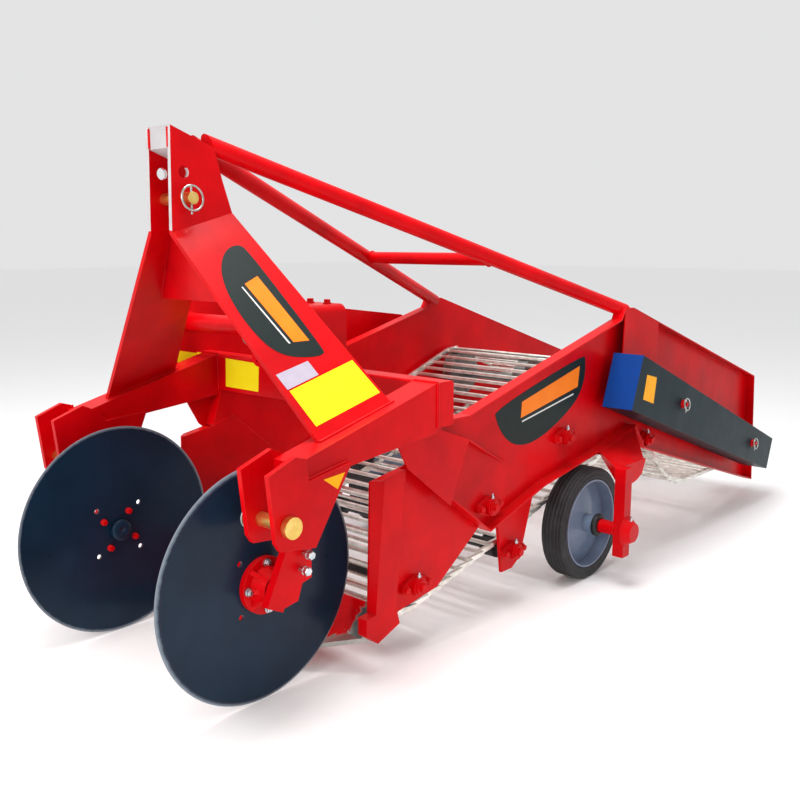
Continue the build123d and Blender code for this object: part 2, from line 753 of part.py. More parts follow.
# Gearbox on the beam, with its input stub towards the tractor
with BuildPart() as gearbox:
    body = (
        (gearbox_y[0], beam_z[1]),
        (gearbox_y[1], beam_z[1]),
        (gearbox_y[1], gearbox_top),
        (gearbox_y[0], gearbox_top),
    )
    plate_across(body, -gearbox_half, gearbox_half)
    fillet(gearbox.edges().filter_by(Axis.Y), gearbox_round)
    input_face = Plane(origin=(0, hitch_y + gearbox_y[0], drive_z), x_dir=(1, 0, 0), z_dir=(0, -1, 0))
    with BuildSketch(input_face):
        Circle(stub_collar_r)
    extrude(amount=stub_collar)
    with BuildSketch(input_face):
        Circle(stub_r)
    extrude(amount=stub_length)
gearbox.part.label = "gearbox"
export_step(gearbox.part, "parts/gearbox.step")

# Tube from the gearbox to the drive case, which houses the cross shaft
with BuildPart() as cross_tube:
    bar_across((drive_y, drive_z), cross_tube_r, -case_x[0], -gearbox_half)
cross_tube.part.label = "cross_tube"
export_step(cross_tube.part, "parts/cross_tube.step")

# Closed drive case outside the right panel
with BuildPart() as case:
    plate_across(case_outline, -case_x[1], -case_x[0])
    fillet(case.edges().filter_by(Axis.X), case_round)
    bar_across(case_hole, case_hole_r, -case_x[0] - case_hole_depth, -case_x[0], mode=Mode.SUBTRACT)
case.part.label = "drive_case"
export_step(case.part, "parts/drive_case.step")

# Side chain guard: a folded cover open towards the panel, on two posts
with BuildPart() as guard:
    plate_across(guard_outline, guard_x[0], guard_x[1])
    with BuildSketch(side.offset(guard_x[0])) as hollow:
        with BuildLine():
            Polyline(*guard_outline, close=True)
        make_face()
        offset(amount=-guard_wall, kind=Kind.INTERSECTION, mode=Mode.REPLACE)
    extrude(amount=guard_x[1] - guard_x[0] - guard_wall, mode=Mode.SUBTRACT)
    for place in guard_posts:
        bar_across(place, guard_post_r, face_x, guard_x[1])
guard.part.label = "chain_guard"
export_step(guard.part, "parts/chain_guard.step")

for name, turned in hands:
    # Wheel bracket: a pad under the panel's flange and an arm that reaches out over the tyre to a square
    # tube, which a gusset stiffens; the axle runs through the tube, with a collar at each end of the
    # wheel's hub and a cap outside
    with BuildPart() as bracket:
        flange_x = face_x + panel_flange
        pad_end_z = height_on(bracket_pad_end_y, panel_belly[1], panel_belly[2])
        pad = (
            panel_belly[1],
            (bracket_pad_end_y, pad_end_z),
            (bracket_pad_end_y, pad_end_z - bracket_plate),
            (panel_belly[1][0], panel_belly[1][1] - bracket_plate),
        )
        plate_across(pad, bracket_pad_x, flange_x)
        post_y = (wheel_y - wheel_post / 2, wheel_y + wheel_post / 2)
        post_low = wheel_z - wheel_post_below
        post_top = height_on(wheel_y, panel_belly[0], panel_belly[1])
        arm_end = (
            (post_y[0], post_top),
            (wheel_y + gusset_end, post_top),
            (wheel_y + gusset_end, post_top - bracket_plate),
            (post_y[0], post_top - bracket_nose),
        )
        for section, place in ((pad, flange_x), (arm_end, wheel_post_x[0])):
            with BuildSketch(side.offset(place)):
                with BuildLine():
                    Polyline(*section, close=True)
                make_face()
        loft(ruled=True)
        post = ((post_y[0], post_low), (post_y[1], post_low), (post_y[1], post_top), (post_y[0], post_top))
        plate_across(post, *wheel_post_x)
        wall = wheel_post_wall
        bore = (
            (post_y[0] + wall, post_low),
            (post_y[1] - wall, post_low),
            (post_y[1] - wall, post_top - wall),
            (post_y[0] + wall, post_top - wall),
        )
        plate_across(bore, wheel_post_x[0] + wall, wheel_post_x[1] - wall, mode=Mode.SUBTRACT)
        gusset_edge = [(wheel_y + along, wheel_z + high) for along, high in gusset]
        gusset_plate = (
            (post_y[1], post_top),
            (post_y[1], gusset_edge[0][1]),
            *gusset_edge,
            (wheel_y + gusset_end, post_top),
        )
        plate_across(gusset_plate, wheel_post_x[0], wheel_post_x[0] + bracket_plate)
        axle_place = (wheel_y, wheel_z)
        bar_across(axle_place, axle_r, axle_start_x, wheel_post_x[1])
        bar_across(axle_place, axle_collar_r, axle_start_x, rim_hub_x[0] - joint_gap)
        bar_across(axle_place, axle_collar_r, rim_hub_x[1] + joint_gap, wheel_post_x[0])
        boss_plane = Plane(
            origin=(wheel_post_x[1], hitch_y + wheel_y, wheel_z), x_dir=(0, 1, 0), z_dir=(1, 0, 0)
        )
        with BuildSketch(boss_plane):
            Circle(bracket_boss_r[0])
        with BuildSketch(boss_plane.offset(bracket_end_x - wheel_post_x[1])):
            Circle(bracket_boss_r[1])
        loft()
        if turned:
            mirror(about=Plane.YZ, mode=Mode.REPLACE)
    bracket.part.label = "wheel_bracket_" + name
    export_step(bracket.part, f"parts/{bracket.part.label}.step")

    # Pressed wheel rim: a barrel, a coned disc and a hub bored for the axle
    axle_line = Axis((0, hitch_y + wheel_y, wheel_z), (1, 0, 0))
    radial = Plane(origin=axle_line.position, x_dir=(1, 0, 0), z_dir=(0, -1, 0))
    with BuildPart() as rim:
        with BuildSketch(radial):
            with BuildLine():
                Polyline(
                    (rim_x[0], rim_r),
                    (rim_x[1], rim_r),
                    (rim_x[1], rim_r - rim_wall),
                    (rim_dish_x[0] + rim_wall, rim_r - rim_wall),
                    (rim_dish_x[1] + rim_wall, rim_hub_r),
                    (rim_hub_x[1], rim_hub_r),
                    (rim_hub_x[1], axle_r + pin_fit),
                    (rim_hub_x[0], axle_r + pin_fit),
                    (rim_hub_x[0], rim_hub_r),
                    (rim_dish_x[1], rim_hub_r),
                    (rim_dish_x[0], rim_r - rim_wall),
                    (rim_x[0], rim_r - rim_wall),
                    close=True,
                )
            make_face()
        revolve(axis=axle_line)
        if turned:
            mirror(about=Plane.YZ, mode=Mode.REPLACE)
    rim.part.label = "wheel_rim_" + name
    export_step(rim.part, f"parts/{rim.part.label}.step")

    # Solid tyre with a round crown
    with BuildPart() as tyre:
        with BuildSketch(radial):
            with BuildLine():
                crown = ((tyre_x[0] + tyre_x[1]) / 2, tyre_r)
                Polyline(
                    (tyre_x[0], tyre_shoulder_r),
                    (tyre_x[0], rim_r + joint_gap),
                    (tyre_x[1], rim_r + joint_gap),
                    (tyre_x[1], tyre_shoulder_r),
                )
                ThreePointArc((tyre_x[1], tyre_shoulder_r), crown, (tyre_x[0], tyre_shoulder_r))
            make_face()
        revolve(axis=axle_line)
        if turned:
            mirror(about=Plane.YZ, mode=Mode.REPLACE)
    tyre.part.label = "tyre_" + name
    export_step(tyre.part, f"parts/{tyre.part.label}.step")
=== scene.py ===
import math

import bmesh
import bpy
from mathutils import Matrix, Vector


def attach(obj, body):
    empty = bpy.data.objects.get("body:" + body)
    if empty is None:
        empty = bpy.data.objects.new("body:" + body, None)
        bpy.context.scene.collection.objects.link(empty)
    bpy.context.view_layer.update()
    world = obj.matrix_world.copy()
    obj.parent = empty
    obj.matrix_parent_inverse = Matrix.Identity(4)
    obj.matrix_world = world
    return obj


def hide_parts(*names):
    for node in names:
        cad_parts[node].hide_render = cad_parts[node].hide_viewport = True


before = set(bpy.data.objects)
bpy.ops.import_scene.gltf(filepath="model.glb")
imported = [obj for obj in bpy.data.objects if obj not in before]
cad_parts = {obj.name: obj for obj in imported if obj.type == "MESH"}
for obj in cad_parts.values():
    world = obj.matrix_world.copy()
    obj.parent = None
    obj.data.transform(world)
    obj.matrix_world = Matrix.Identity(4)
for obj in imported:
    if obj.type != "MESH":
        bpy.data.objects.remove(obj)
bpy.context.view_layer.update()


# The studio: a pale painted floor, a large soft light overhead, a weaker one ahead and a faint fill on
# the right. The camera is 0.95 m up, off the machine's left front corner, as solved from the photo.
def linear(code):
    """Linear colour of an sRGB hex value."""
    parts = [int(code[i : i + 2], 16) / 255 for i in (1, 3, 5)]
    return (*[c / 12.92 if c <= 0.04045 else ((c + 0.055) / 1.055) ** 2.4 for c in parts], 1.0)


def add(tree, kind, inputs=None, **settings):
    """Adds one node with its settings. Each input gets a value, or links from one output or several."""
    node = tree.nodes.new(kind)
    for name, value in settings.items():
        setattr(node, name, value)
    for name, value in (inputs or {}).items():
        for source in value if isinstance(value, list) else [value]:
            if isinstance(source, bpy.types.NodeSocket):
                tree.links.new(source, node.inputs[name])
            else:
                node.inputs[name].default_value = source
    return node


def nodes_of(material):
    """A material's node tree, its shader and the object's own coordinates."""
    tree = material.node_tree
    return tree, tree.nodes["Principled BSDF"], add(tree, "ShaderNodeTexCoord").outputs["Object"]


def new_material(name):
    """New node material, followed by what nodes_of gives."""
    material = bpy.data.materials.new(name)
    material.use_nodes = True
    return material, *nodes_of(material)


# sockets of a colour mix node: its three inputs by number, and its output
FACTOR, FIRST, SECOND, MIXED = 0, 6, 7, 2


def softbox(name, spot, aim, width, height, power, colour):
    """Rectangular studio light at one spot, aimed at another."""
    lamp = bpy.data.lights.new(name, "AREA")
    lamp.shape = "RECTANGLE"
    lamp.size, lamp.size_y = width, height
    lamp.energy = power
    lamp.color = linear(colour)[:3]
    light = bpy.data.objects.new(name, lamp)
    light.location = spot
    light.rotation_euler = (Vector(aim) - Vector(spot)).to_track_quat("-Z", "Y").to_euler()
    bpy.context.scene.collection.objects.link(light)


softbox("overhead softbox", (0.1, -0.6, 3.4), (0, 0, 0.4), 1.8, 1.8, 105, "#ffffff")
softbox("front left softbox", (0.7, -4.0, 1.9), (0, -0.3, 0.5), 1.4, 1.4, 52, "#fffaf4")
softbox("right fill softbox", (-3.4, -2.6, 1.8), (0, -0.4, 0.4), 2.0, 1.6, 6, "#f2f6ff")

# no film curve, so that the enamel keeps its full red
bpy.context.scene.view_settings.view_transform = "Standard"
world = bpy.data.worlds.new("studio air")
world.use_nodes = True
bpy.context.scene.world = world
background = world.node_tree.nodes["Background"]
background.inputs["Color"].default_value = linear("#fbfbfc")
background.inputs["Strength"].default_value = 0.8

half = 30.0
floor_corners = [(-half, -half, 0), (half, -half, 0), (half, half, 0), (-half, half, 0)]
floor_mesh = bpy.data.meshes.new("studio floor")
floor_mesh.from_pydata(floor_corners, [], [(0, 1, 2, 3)])
floor = bpy.data.objects.new("studio floor", floor_mesh)
bpy.context.scene.collection.objects.link(floor)
floor_paint, tree, shader, place = new_material("pale studio floor paint")
grain = add(tree, "ShaderNodeTexNoise", {"Vector": place, "Scale": 3.0})
tone = add(
    tree,
    "ShaderNodeMix",
    {FACTOR: grain.outputs["Fac"], FIRST: linear("#f8f8f8"), SECOND: linear("#fbfbfb")},
    data_type="RGBA",
)
tree.links.new(tone.outputs[MIXED], shader.inputs["Base Color"])
shader.inputs["Roughness"].default_value = 0.8
floor_mesh.materials.append(floor_paint)

lens = bpy.data.cameras.new("camera")
lens.sensor_width, lens.lens = 36.0, 41.23
lens.clip_start, lens.clip_end = 0.05, 100.0
camera = bpy.data.objects.new("camera", lens)
# the picture's right, its up, and the way that the camera looks
picture_right = Vector((0.7432, 0.6691, 0))
picture_up = Vector((-0.1137, 0.1262, 0.9855))
looking = Vector((-0.6594, 0.7324, -0.1699))
camera_turn = Matrix((picture_right, picture_up, -looking)).transposed().to_4x4()
camera.matrix_world = Matrix.Translation((1.6816, -2.1832, 0.9472)) @ camera_turn
bpy.context.scene.collection.objects.link(camera)
bpy.context.scene.camera = camera


# Headstock: two flame-cut plates, bent once and splayed like an A, with a plate across the throat and
# a block between their tops. The welded mild steel is finished in glossy red stoving enamel, but the
# plates' front edges above the bend and the block are left in pale primer.
def enamel(name, colour, deep, rough, coat, peel, ahead=None, shine=0.09):
    """Stoving enamel sprayed on welded steel. Its colour drifts slowly, it has a faint orange peel,
    the sheet under it is never quite flat, and fine dust dulls what faces up. Ahead gives a height
    and two colours: above it, the faces that look ahead take those colours. On the headstock they are
    a real coat of primer; on the guard they are painted light, a brighter blue where the lamps fall."""
    material, tree, shader, place = new_material(name)
    flat = add(tree, "ShaderNodeNewGeometry")
    facing = add(tree, "ShaderNodeSeparateXYZ", {0: flat.outputs["Normal"]})
    # colour drifts over about 150 mm
    drift = add(tree, "ShaderNodeTexNoise", {"Vector": place, "Scale": 6.5, "Detail": 4.0, "Roughness": 0.55})
    shift = add(
        tree, "ShaderNodeMapRange", {"Value": drift.outputs["Fac"], "From Min": 0.35, "From Max": 0.7}
    )
    body = add(
        tree,
        "ShaderNodeMix",
        {FACTOR: shift.outputs[0], FIRST: linear(colour), SECOND: linear(deep)},
        data_type="RGBA",
    )
    # dust settles on faces that look up, in patches of about 40 mm
    upward = add(
        tree,
        "ShaderNodeMapRange",
        {"Value": facing.outputs["Z"], "From Min": 0.5, "From Max": 1.0, "To Max": 0.03},
    )
    patches = add(tree, "ShaderNodeTexNoise", {"Vector": place, "Scale": 25.0, "Detail": 5.0})
    dust = add(
        tree, "ShaderNodeMath", {0: upward.outputs[0], 1: patches.outputs["Fac"]}, operation="MULTIPLY"
    )
    dusty = add(
        tree,
        "ShaderNodeMix",
        {FACTOR: dust.outputs[0], FIRST: body.outputs[MIXED], SECOND: linear("#b9aca2")},
        data_type="RGBA",
    )
    # fine scuffs and drips run down, about 6 mm apart, where the wash water has dried
    drawn = add(tree, "ShaderNodeMapping", {"Vector": place, "Scale": (160, 160, 7)})
    runs = add(tree, "ShaderNodeTexNoise", {"Vector": drawn.outputs[0], "Scale": 1.0, "Detail": 3.0})
    faint = add(
        tree,
        "ShaderNodeMapRange",
        {"Value": runs.outputs["Fac"], "From Min": 0.56, "From Max": 0.8, "To Max": 0.35},
    )
    streaked = add(
        tree,
        "ShaderNodeMix",
        {FACTOR: faint.outputs[0], FIRST: dusty.outputs[MIXED], SECOND: linear(deep)},
        data_type="RGBA",
    )
    # edges: the bevel rounds them by 1.5 mm, and a paler red along them is a painted highlight, where light
    # catches the rounded edge
    rounded = add(tree, "ShaderNodeBevel", {"Radius": 0.0015}, samples=4)
    sharp = add(
        tree,
        "ShaderNodeVectorMath",
        {0: rounded.outputs[0], 1: flat.outputs["Normal"]},
        operation="DOT_PRODUCT",
    )
    edge = add(
        tree,
        "ShaderNodeMapRange",
        {"Value": sharp.outputs["Value"], "From Min": 0.99, "From Max": 0.86, "To Max": 0.2},
    )
    # worn: a painted edge highlight, a paler red along the edges
    worn = add(
        tree,
        "ShaderNodeMix",
        {FACTOR: edge.outputs[0], FIRST: streaked.outputs[MIXED], SECOND: linear("#ff5a4e")},
        data_type="RGBA",
    )
    finish = worn
    if ahead:
        # the front colour has a ragged lower end. On the headstock it is primer; on the guard it is painted
        # light
        lowest, front_colour, front_deep = ahead
        ahead_facing = add(tree, "ShaderNodeMath", {0: facing.outputs["Y"], 1: -0.7}, operation="LESS_THAN")
        height = add(tree, "ShaderNodeSeparateXYZ", {0: place})
        ragged = add(
            tree,
            "ShaderNodeMath",
            {0: patches.outputs["Fac"], 1: 0.03, 2: height.outputs["Z"]},
            operation="MULTIPLY_ADD",
        )
        above = add(tree, "ShaderNodeMath", {0: ragged.outputs[0], 1: lowest}, operation="GREATER_THAN")
        # bare: faces that look ahead above the height, real primer on the headstock and a painted lit tint on
        # the guard
        bare = add(
            tree, "ShaderNodeMath", {0: ahead_facing.outputs[0], 1: above.outputs[0]}, operation="MULTIPLY"
        )
        # primer: the front colour, real primer on the headstock and painted light on the guard's end
        primer = add(
            tree,
            "ShaderNodeMix",
            {FACTOR: patches.outputs["Fac"], FIRST: linear(front_colour), SECOND: linear(front_deep)},
            data_type="RGBA",
        )
        finish = add(
            tree,
            "ShaderNodeMix",
            {FACTOR: bare.outputs[0], FIRST: worn.outputs[MIXED], SECOND: primer.outputs[MIXED]},
            data_type="RGBA",
        )
    tree.links.new(finish.outputs[MIXED], shader.inputs["Base Color"])
    scuff = add(
        tree,
        "ShaderNodeMapRange",
        {"Value": patches.outputs["Fac"], "To Min": rough - 0.06, "To Max": rough + 0.08},
    )
    tree.links.new(scuff.outputs[0], shader.inputs["Roughness"])
    # sheet waves of about 180 mm, and an orange peel drawn at 9 mm, coarser than life so that it shows
    waves = add(tree, "ShaderNodeTexNoise", {"Vector": place, "Scale": 5.5, "Detail": 1.0})
    wavy = add(
        tree,
        "ShaderNodeBump",
        {"Height": waves.outputs["Fac"], "Normal": rounded.outputs[0], "Strength": 0.35, "Distance": 0.012},
    )
    pores = add(tree, "ShaderNodeTexNoise", {"Vector": place, "Scale": 110.0, "Detail": 2.0})
    peeled = add(
        tree,
        "ShaderNodeBump",
        {"Height": pores.outputs["Fac"], "Normal": wavy.outputs[0], "Strength": peel, "Distance": 0.0006},
    )
    tree.links.new(peeled.outputs[0], shader.inputs["Normal"])
    shader.inputs["IOR"].default_value = 1.5
    shader.inputs["Specular IOR Level"].default_value = shine
    shader.inputs["Coat Weight"].default_value = coat
    shader.inputs["Coat Roughness"].default_value = 0.1
    return material


def dress(material, *nodes):
    """Gives CAD nodes their finish."""
    for name in nodes:
        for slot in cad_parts[name].material_slots:
            slot.material = material


# red enamel: a deep, full red, whose highlights stay small and soft because the specular level is low
red_coat = {"colour": "#d8000a", "deep": "#b60009", "rough": 0.36, "coat": 0.04, "peel": 0.3}
front_primer = (0.985, "#d9d6d6", "#a9a4a6")  # from the bend's height up
red_enamel = enamel("red stoving enamel", **red_coat)
headstock_enamel = enamel("red enamel with primed front edges", **red_coat, ahead=front_primer)
# primer: the same sheet under a matt, slightly grainy grey
primer_grey = enamel("pale grey primer", "#c6c4c6", "#a7a4a7", 0.6, 0.0, 0.5)
dress(headstock_enamel, "headstock_left", "headstock_right")
dress(red_enamel, "headstock_throat_plate")
dress(primer_grey, "headstock_cap")


def at(x, along, high):
    """Place in metres from millimetres: across, behind the lower hitch pins, and above the floor."""
    return (x / 1000, along / 1000 - 1.108, high / 1000)  # the pins are 1.108 m ahead of the middle


def grow(name, tree, seats, body, slot_name, edges=(), **sizes):
    """Makes a piece by running a Geometry Nodes tree on seats, each a place and a direction to face."""
    cloud = bpy.data.meshes.new(name)
    cloud.from_pydata([seat[0] for seat in seats], edges, [])
    facing = cloud.attributes.new("facing", "FLOAT_VECTOR", "POINT")
    for entry, seat in zip(facing.data, seats):
        entry.vector = seat[1]
    piece = bpy.data.objects.new(name, cloud)
    bpy.context.scene.collection.objects.link(piece)
    modifier = piece.modifiers.new(tree.name, "NODES")
    modifier.node_group = tree
    for item in tree.interface.items_tree:
        if item.item_type == "SOCKET" and item.in_out == "INPUT" and item.name in sizes:
            modifier[item.identifier] = sizes[item.name]
    made = bpy.data.meshes.new_from_object(piece.evaluated_get(bpy.context.evaluated_depsgraph_get()))
    piece.modifiers.clear()
    piece.data = made
    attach(piece, body)


def new_tree(name, sizes):
    """Geometry Nodes tree with one geometry input, named sizes and a finish."""
    tree = bpy.data.node_groups.new(name, "GeometryNodeTree")
    tree.interface.new_socket("Geometry", in_out="INPUT", socket_type="NodeSocketGeometry")
    for size, value in sizes.items():
        tree.interface.new_socket(size, in_out="INPUT", socket_type="NodeSocketFloat").default_value = value
    tree.interface.new_socket("Finish", in_out="INPUT", socket_type="NodeSocketMaterial")
    tree.interface.new_socket("Geometry", in_out="OUTPUT", socket_type="NodeSocketGeometry")
    return tree, add(tree, "NodeGroupInput")


def close_tree(tree, geometry, given):
    """Realises what a tree made, gives it its finish and ends the tree."""
    solid = add(tree, "GeometryNodeRealizeInstances", {0: geometry})
    painted = add(
        tree, "GeometryNodeSetMaterial", {"Geometry": solid.outputs[0], "Material": given.outputs["Finish"]}
    )
    add(tree, "NodeGroupOutput", {"Geometry": painted.outputs[0]})


# hexagon bolts: a washer, a head with its corners chamfered, and a short end of thread, on each seat
washer_thick = 0.004
corner_per_flats, chamfer_per_flats = 0.5774, 0.49
low_share, top_share = 0.8, 0.2  # of the head's height, below and above the chamfer's start
bolts, given = new_tree(
    "hexagon bolts",
    {"Across Flats": 0.019, "Head": 0.008, "Washer": 0.0125, "Thread": 0.0, "Thread Radius": 0.005},
)
to_corner = add(
    bolts, "ShaderNodeMath", {0: given.outputs["Across Flats"], 1: corner_per_flats}, operation="MULTIPLY"
)
to_chamfer = add(
    bolts, "ShaderNodeMath", {0: given.outputs["Across Flats"], 1: chamfer_per_flats}, operation="MULTIPLY"
)
low_part = add(bolts, "ShaderNodeMath", {0: given.outputs["Head"], 1: low_share}, operation="MULTIPLY")
top_part = add(bolts, "ShaderNodeMath", {0: given.outputs["Head"], 1: top_share}, operation="MULTIPLY")
washer = add(
    bolts,
    "GeometryNodeMeshCylinder",
    {"Vertices": 20, "Radius": given.outputs["Washer"], "Depth": washer_thick},
)
hexagon = add(
    bolts,
    "GeometryNodeMeshCylinder",
    {"Vertices": 6, "Radius": to_corner.outputs[0], "Depth": low_part.outputs[0]},
)
half_low = add(
    bolts, "ShaderNodeMath", {0: low_part.outputs[0], 1: 0.5, 2: washer_thick / 2}, operation="MULTIPLY_ADD"
)
lift = add(bolts, "ShaderNodeCombineXYZ", {"Z": half_low.outputs[0]})
raised = add(bolts, "GeometryNodeTransform", {"Geometry": hexagon.outputs[0], "Translation": lift.outputs[0]})
crown = add(
    bolts,
    "GeometryNodeMeshCone",
    {
        "Vertices": 6,
        "Radius Top": to_chamfer.outputs[0],
        "Radius Bottom": to_corner.outputs[0],
        "Depth": top_part.outputs[0],
    },
)
crown_base = add(bolts, "ShaderNodeMath", {0: low_part.outputs[0], 1: washer_thick / 2}, operation="ADD")
crown_lift = add(bolts, "ShaderNodeCombineXYZ", {"Z": crown_base.outputs[0]})
crowned = add(
    bolts, "GeometryNodeTransform", {"Geometry": crown.outputs[0], "Translation": crown_lift.outputs[0]}
)
thread = add(
    bolts,
    "GeometryNodeMeshCylinder",
    {"Vertices": 12, "Radius": given.outputs["Thread Radius"], "Depth": given.outputs["Thread"]},
)
half_thread = add(
    bolts,
    "ShaderNodeMath",
    {0: given.outputs["Thread"], 1: 0.5, 2: given.outputs["Head"]},
    operation="MULTIPLY_ADD",
)
thread_lift = add(bolts, "ShaderNodeCombineXYZ", {"Z": half_thread.outputs[0]})
threaded = add(
    bolts, "GeometryNodeTransform", {"Geometry": thread.outputs[0], "Translation": thread_lift.outputs[0]}
)
whole = add(
    bolts,
    "GeometryNodeJoinGeometry",
    {"Geometry": [washer.outputs[0], raised.outputs[0], crowned.outputs[0], threaded.outputs[0]]},
)
facing = add(bolts, "GeometryNodeInputNamedAttribute", {"Name": "facing"}, data_type="FLOAT_VECTOR")
aimed = add(bolts, "FunctionNodeAlignRotationToVector", {"Vector": facing.outputs[0]}, axis="Z")
placed = add(
    bolts,
    "GeometryNodeInstanceOnPoints",
    {"Points": given.outputs["Geometry"], "Instance": whole.outputs[0], "Rotation": aimed.outputs[0]},
)
# each one is tightened to its own angle, up to 60 degrees
largest, seed = 3, 8  # sockets of the random value
angle = add(bolts, "FunctionNodeRandomValue", {largest: 1.05, seed: 7}, data_type="FLOAT")
spin = add(bolts, "ShaderNodeCombineXYZ", {"Z": angle.outputs[1]})
tightened = add(
    bolts, "GeometryNodeRotateInstances", {"Instances": placed.outputs[0], "Rotation": spin.outputs[0]}
)
close_tree(bolts, tightened.outputs[0], given)

# weld beads and bent wires: a round section along each line, with the ripples that the welder leaves
full_turn = 6.2832
beads, given = new_tree("weld beads", {"Leg": 0.0035, "Step": 0.002, "Ripple": 0.15, "Pitch": 0.0055})
line = add(beads, "GeometryNodeMeshToCurve", {"Mesh": given.outputs["Geometry"]})
fine = add(
    beads,
    "GeometryNodeResampleCurve",
    {"Curve": line.outputs[0], "Length": given.outputs["Step"]},
    mode="LENGTH",
)
run = add(beads, "GeometryNodeSplineParameter")
turns = add(
    beads, "ShaderNodeMath", {0: run.outputs["Length"], 1: given.outputs["Pitch"]}, operation="DIVIDE"
)
phase = add(beads, "ShaderNodeMath", {0: turns.outputs[0], 1: full_turn}, operation="MULTIPLY")
wave = add(beads, "ShaderNodeMath", {0: phase.outputs[0]}, operation="SINE")
swell = add(
    beads,
    "ShaderNodeMath",
    {0: wave.outputs[0], 1: given.outputs["Ripple"], 2: 1.0},
    operation="MULTIPLY_ADD",
)
section = add(beads, "GeometryNodeCurvePrimitiveCircle", {"Resolution": 8, "Radius": given.outputs["Leg"]})
bead = add(
    beads,
    "GeometryNodeCurveToMesh",
    {
        "Curve": fine.outputs[0],
        "Profile Curve": section.outputs[0],
        "Scale": swell.outputs[0],
        "Fill Caps": True,
    },
)
smooth = add(beads, "GeometryNodeSetShadeSmooth", {"Geometry": bead.outputs[0]})
close_tree(beads, smooth.outputs[0], given)


def lay(name, lines, body, slot_name, **sizes):
    """Weld beads or bent wires along lines of places. A line that ends where it starts is closed."""
    points, edges, unused_facing = [], [], (0, 0, 1)
    for way in lines:
        closed = way[0] == way[-1]
        way = way[:-1] if closed else way
        first = len(points)
        points += [(spot, unused_facing) for spot in way]
        edges += [(first + i, first + i + 1) for i in range(len(way) - 1)]
        if closed:
            edges.append((first + len(way) - 1, first))
    grow(name, beads, points, body, slot_name, edges, **sizes)


def ring(centre, axis, radius, steps=32):
    """Closed circle of places round an axis."""
    axis = Vector(axis).normalized()
    across = axis.orthogonal().normalized()
    other = axis.cross(across)
    spots = []
    for i in range(steps):
        turn = 2 * math.pi * i / steps
        spots.append(tuple(Vector(centre) + radius * (math.cos(turn) * across + math.sin(turn) * other)))
    return spots + [spots[0]]


def both_sides(lines):
    """The lines, followed by their mirror images on the machine's other side."""
    return lines + [[(-x, y, z) for x, y, z in way] for way in lines]


# the foot of the left plate on the arm, along its outer and its inner face, and across its front
outer_front, outer_rear = at(393.4, 122, 562), at(396.9, 331, 616)
inner_front, inner_rear = at(380.0, 122, 562), at(383.0, 331, 616)
foot_welds = [[outer_front, outer_rear], [inner_front, inner_rear], [outer_front, inner_front]]
throat_welds = [[at(34.5, 90, 982), at(178.5, 155, 818)]]
top_welds = [[at(33.5, 46, 1179), at(33.5, 46, 1139)]]
headstock_lines = both_sides(foot_welds) + both_sides(throat_welds) + both_sides(top_welds)
lay("headstock_welds", headstock_lines, "frame", "red_paint", Finish=red_enamel)


# Hitch pins: turned steel, zinc plated and passivated yellow, each held by a spring-steel lynch pin
# whose ring snaps over the end. The upper pin goes through the headstock, the lower ones through clevises.
def metal(name, colour, other, rough, grain_scale, grain_bump=0.15):
    """Bare or plated steel: two tones in clouds of about 30 mm, and fine tool marks, drawn out along
    the axes in which the grain's scale is low."""
    material, tree, shader, place = new_material(name)
    clouds = add(
        tree, "ShaderNodeTexNoise", {"Vector": place, "Scale": 32.0, "Detail": 5.0, "Roughness": 0.6}
    )
    spread = add(
        tree, "ShaderNodeMapRange", {"Value": clouds.outputs["Fac"], "From Min": 0.35, "From Max": 0.65}
    )
    body = add(
        tree,
        "ShaderNodeMix",
        {FACTOR: spread.outputs[0], FIRST: linear(colour), SECOND: linear(other)},
        data_type="RGBA",
    )
    # tool marks of 2 to 5 mm across, coarser than life so that they show
    stretched = add(tree, "ShaderNodeMapping", {"Vector": place, "Scale": grain_scale})
    marks = add(tree, "ShaderNodeTexNoise", {"Vector": stretched.outputs[0], "Scale": 1.0, "Detail": 3.0})
    tinted = add(
        tree,
        "ShaderNodeMix",
        {FACTOR: 0.3, FIRST: body.outputs[MIXED], SECOND: marks.outputs["Fac"]},
        data_type="RGBA",
        blend_type="OVERLAY",
    )
    tree.links.new(tinted.outputs[MIXED], shader.inputs["Base Color"])
    gloss = add(
        tree,
        "ShaderNodeMapRange",
        {"Value": marks.outputs["Fac"], "To Min": rough - 0.1, "To Max": rough + 0.12},
    )
    tree.links.new(gloss.outputs[0], shader.inputs["Roughness"])
    rounded = add(tree, "ShaderNodeBevel", {"Radius": 0.001}, samples=4)
    scored = add(
        tree,
        "ShaderNodeBump",
        {
            "Height": marks.outputs["Fac"],
            "Normal": rounded.outputs[0],
            "Strength": grain_bump,
            "Distance": 0.0008,
        },
    )
    tree.links.new(scored.outputs[0], shader.inputs["Normal"])
    shader.inputs["Metallic"].default_value = 1.0
    return material


# passivated zinc: warm and half matt, with the fine rings that turning leaves round the pin
yellow_zinc = metal("yellow passivated zinc", "#f0cf7e", "#dab35c", 0.36, (600, 60, 60))
# spring steel wire: grey and bright, with no lay to its grain
spring_steel = metal("bright spring steel", "#c9c9c6", "#9d9c98", 0.3, (300, 300, 300))
dress(yellow_zinc, "top_link_pin", "lower_pin_left", "lower_pin_right")


def lynch(x, along, high, out, radius):
    """Lines of a lynch pin: a pin down through a shaft end, and its ring, which leans over the end."""
    tail, off, lean = 0.007, 0.004, 0.12
    centre = Vector(at(x, along, high))
    pin = [tuple(centre - Vector((0, 0, radius + tail))), tuple(centre + Vector((0, 0, radius)))]
    return [pin, ring(centre + Vector((off * out, 0, 0)), Vector((1, 0, lean * out)), radius, 28)]


# the left end of the top link pin, then the inner ends of the lower pins
hitch_lynches = lynch(62, 78, 1037, 1, 0.026)
for sign in (1, -1):
    hitch_lynches += lynch(sign * 331, 0, 427, -sign, 0.024)
wire = {"Step": 0.003, "Ripple": 0.0, "Finish": spring_steel}
lay("hitch_lynch_pins", hitch_lynches, "frame", "zinc", Leg=0.0026, **wire)

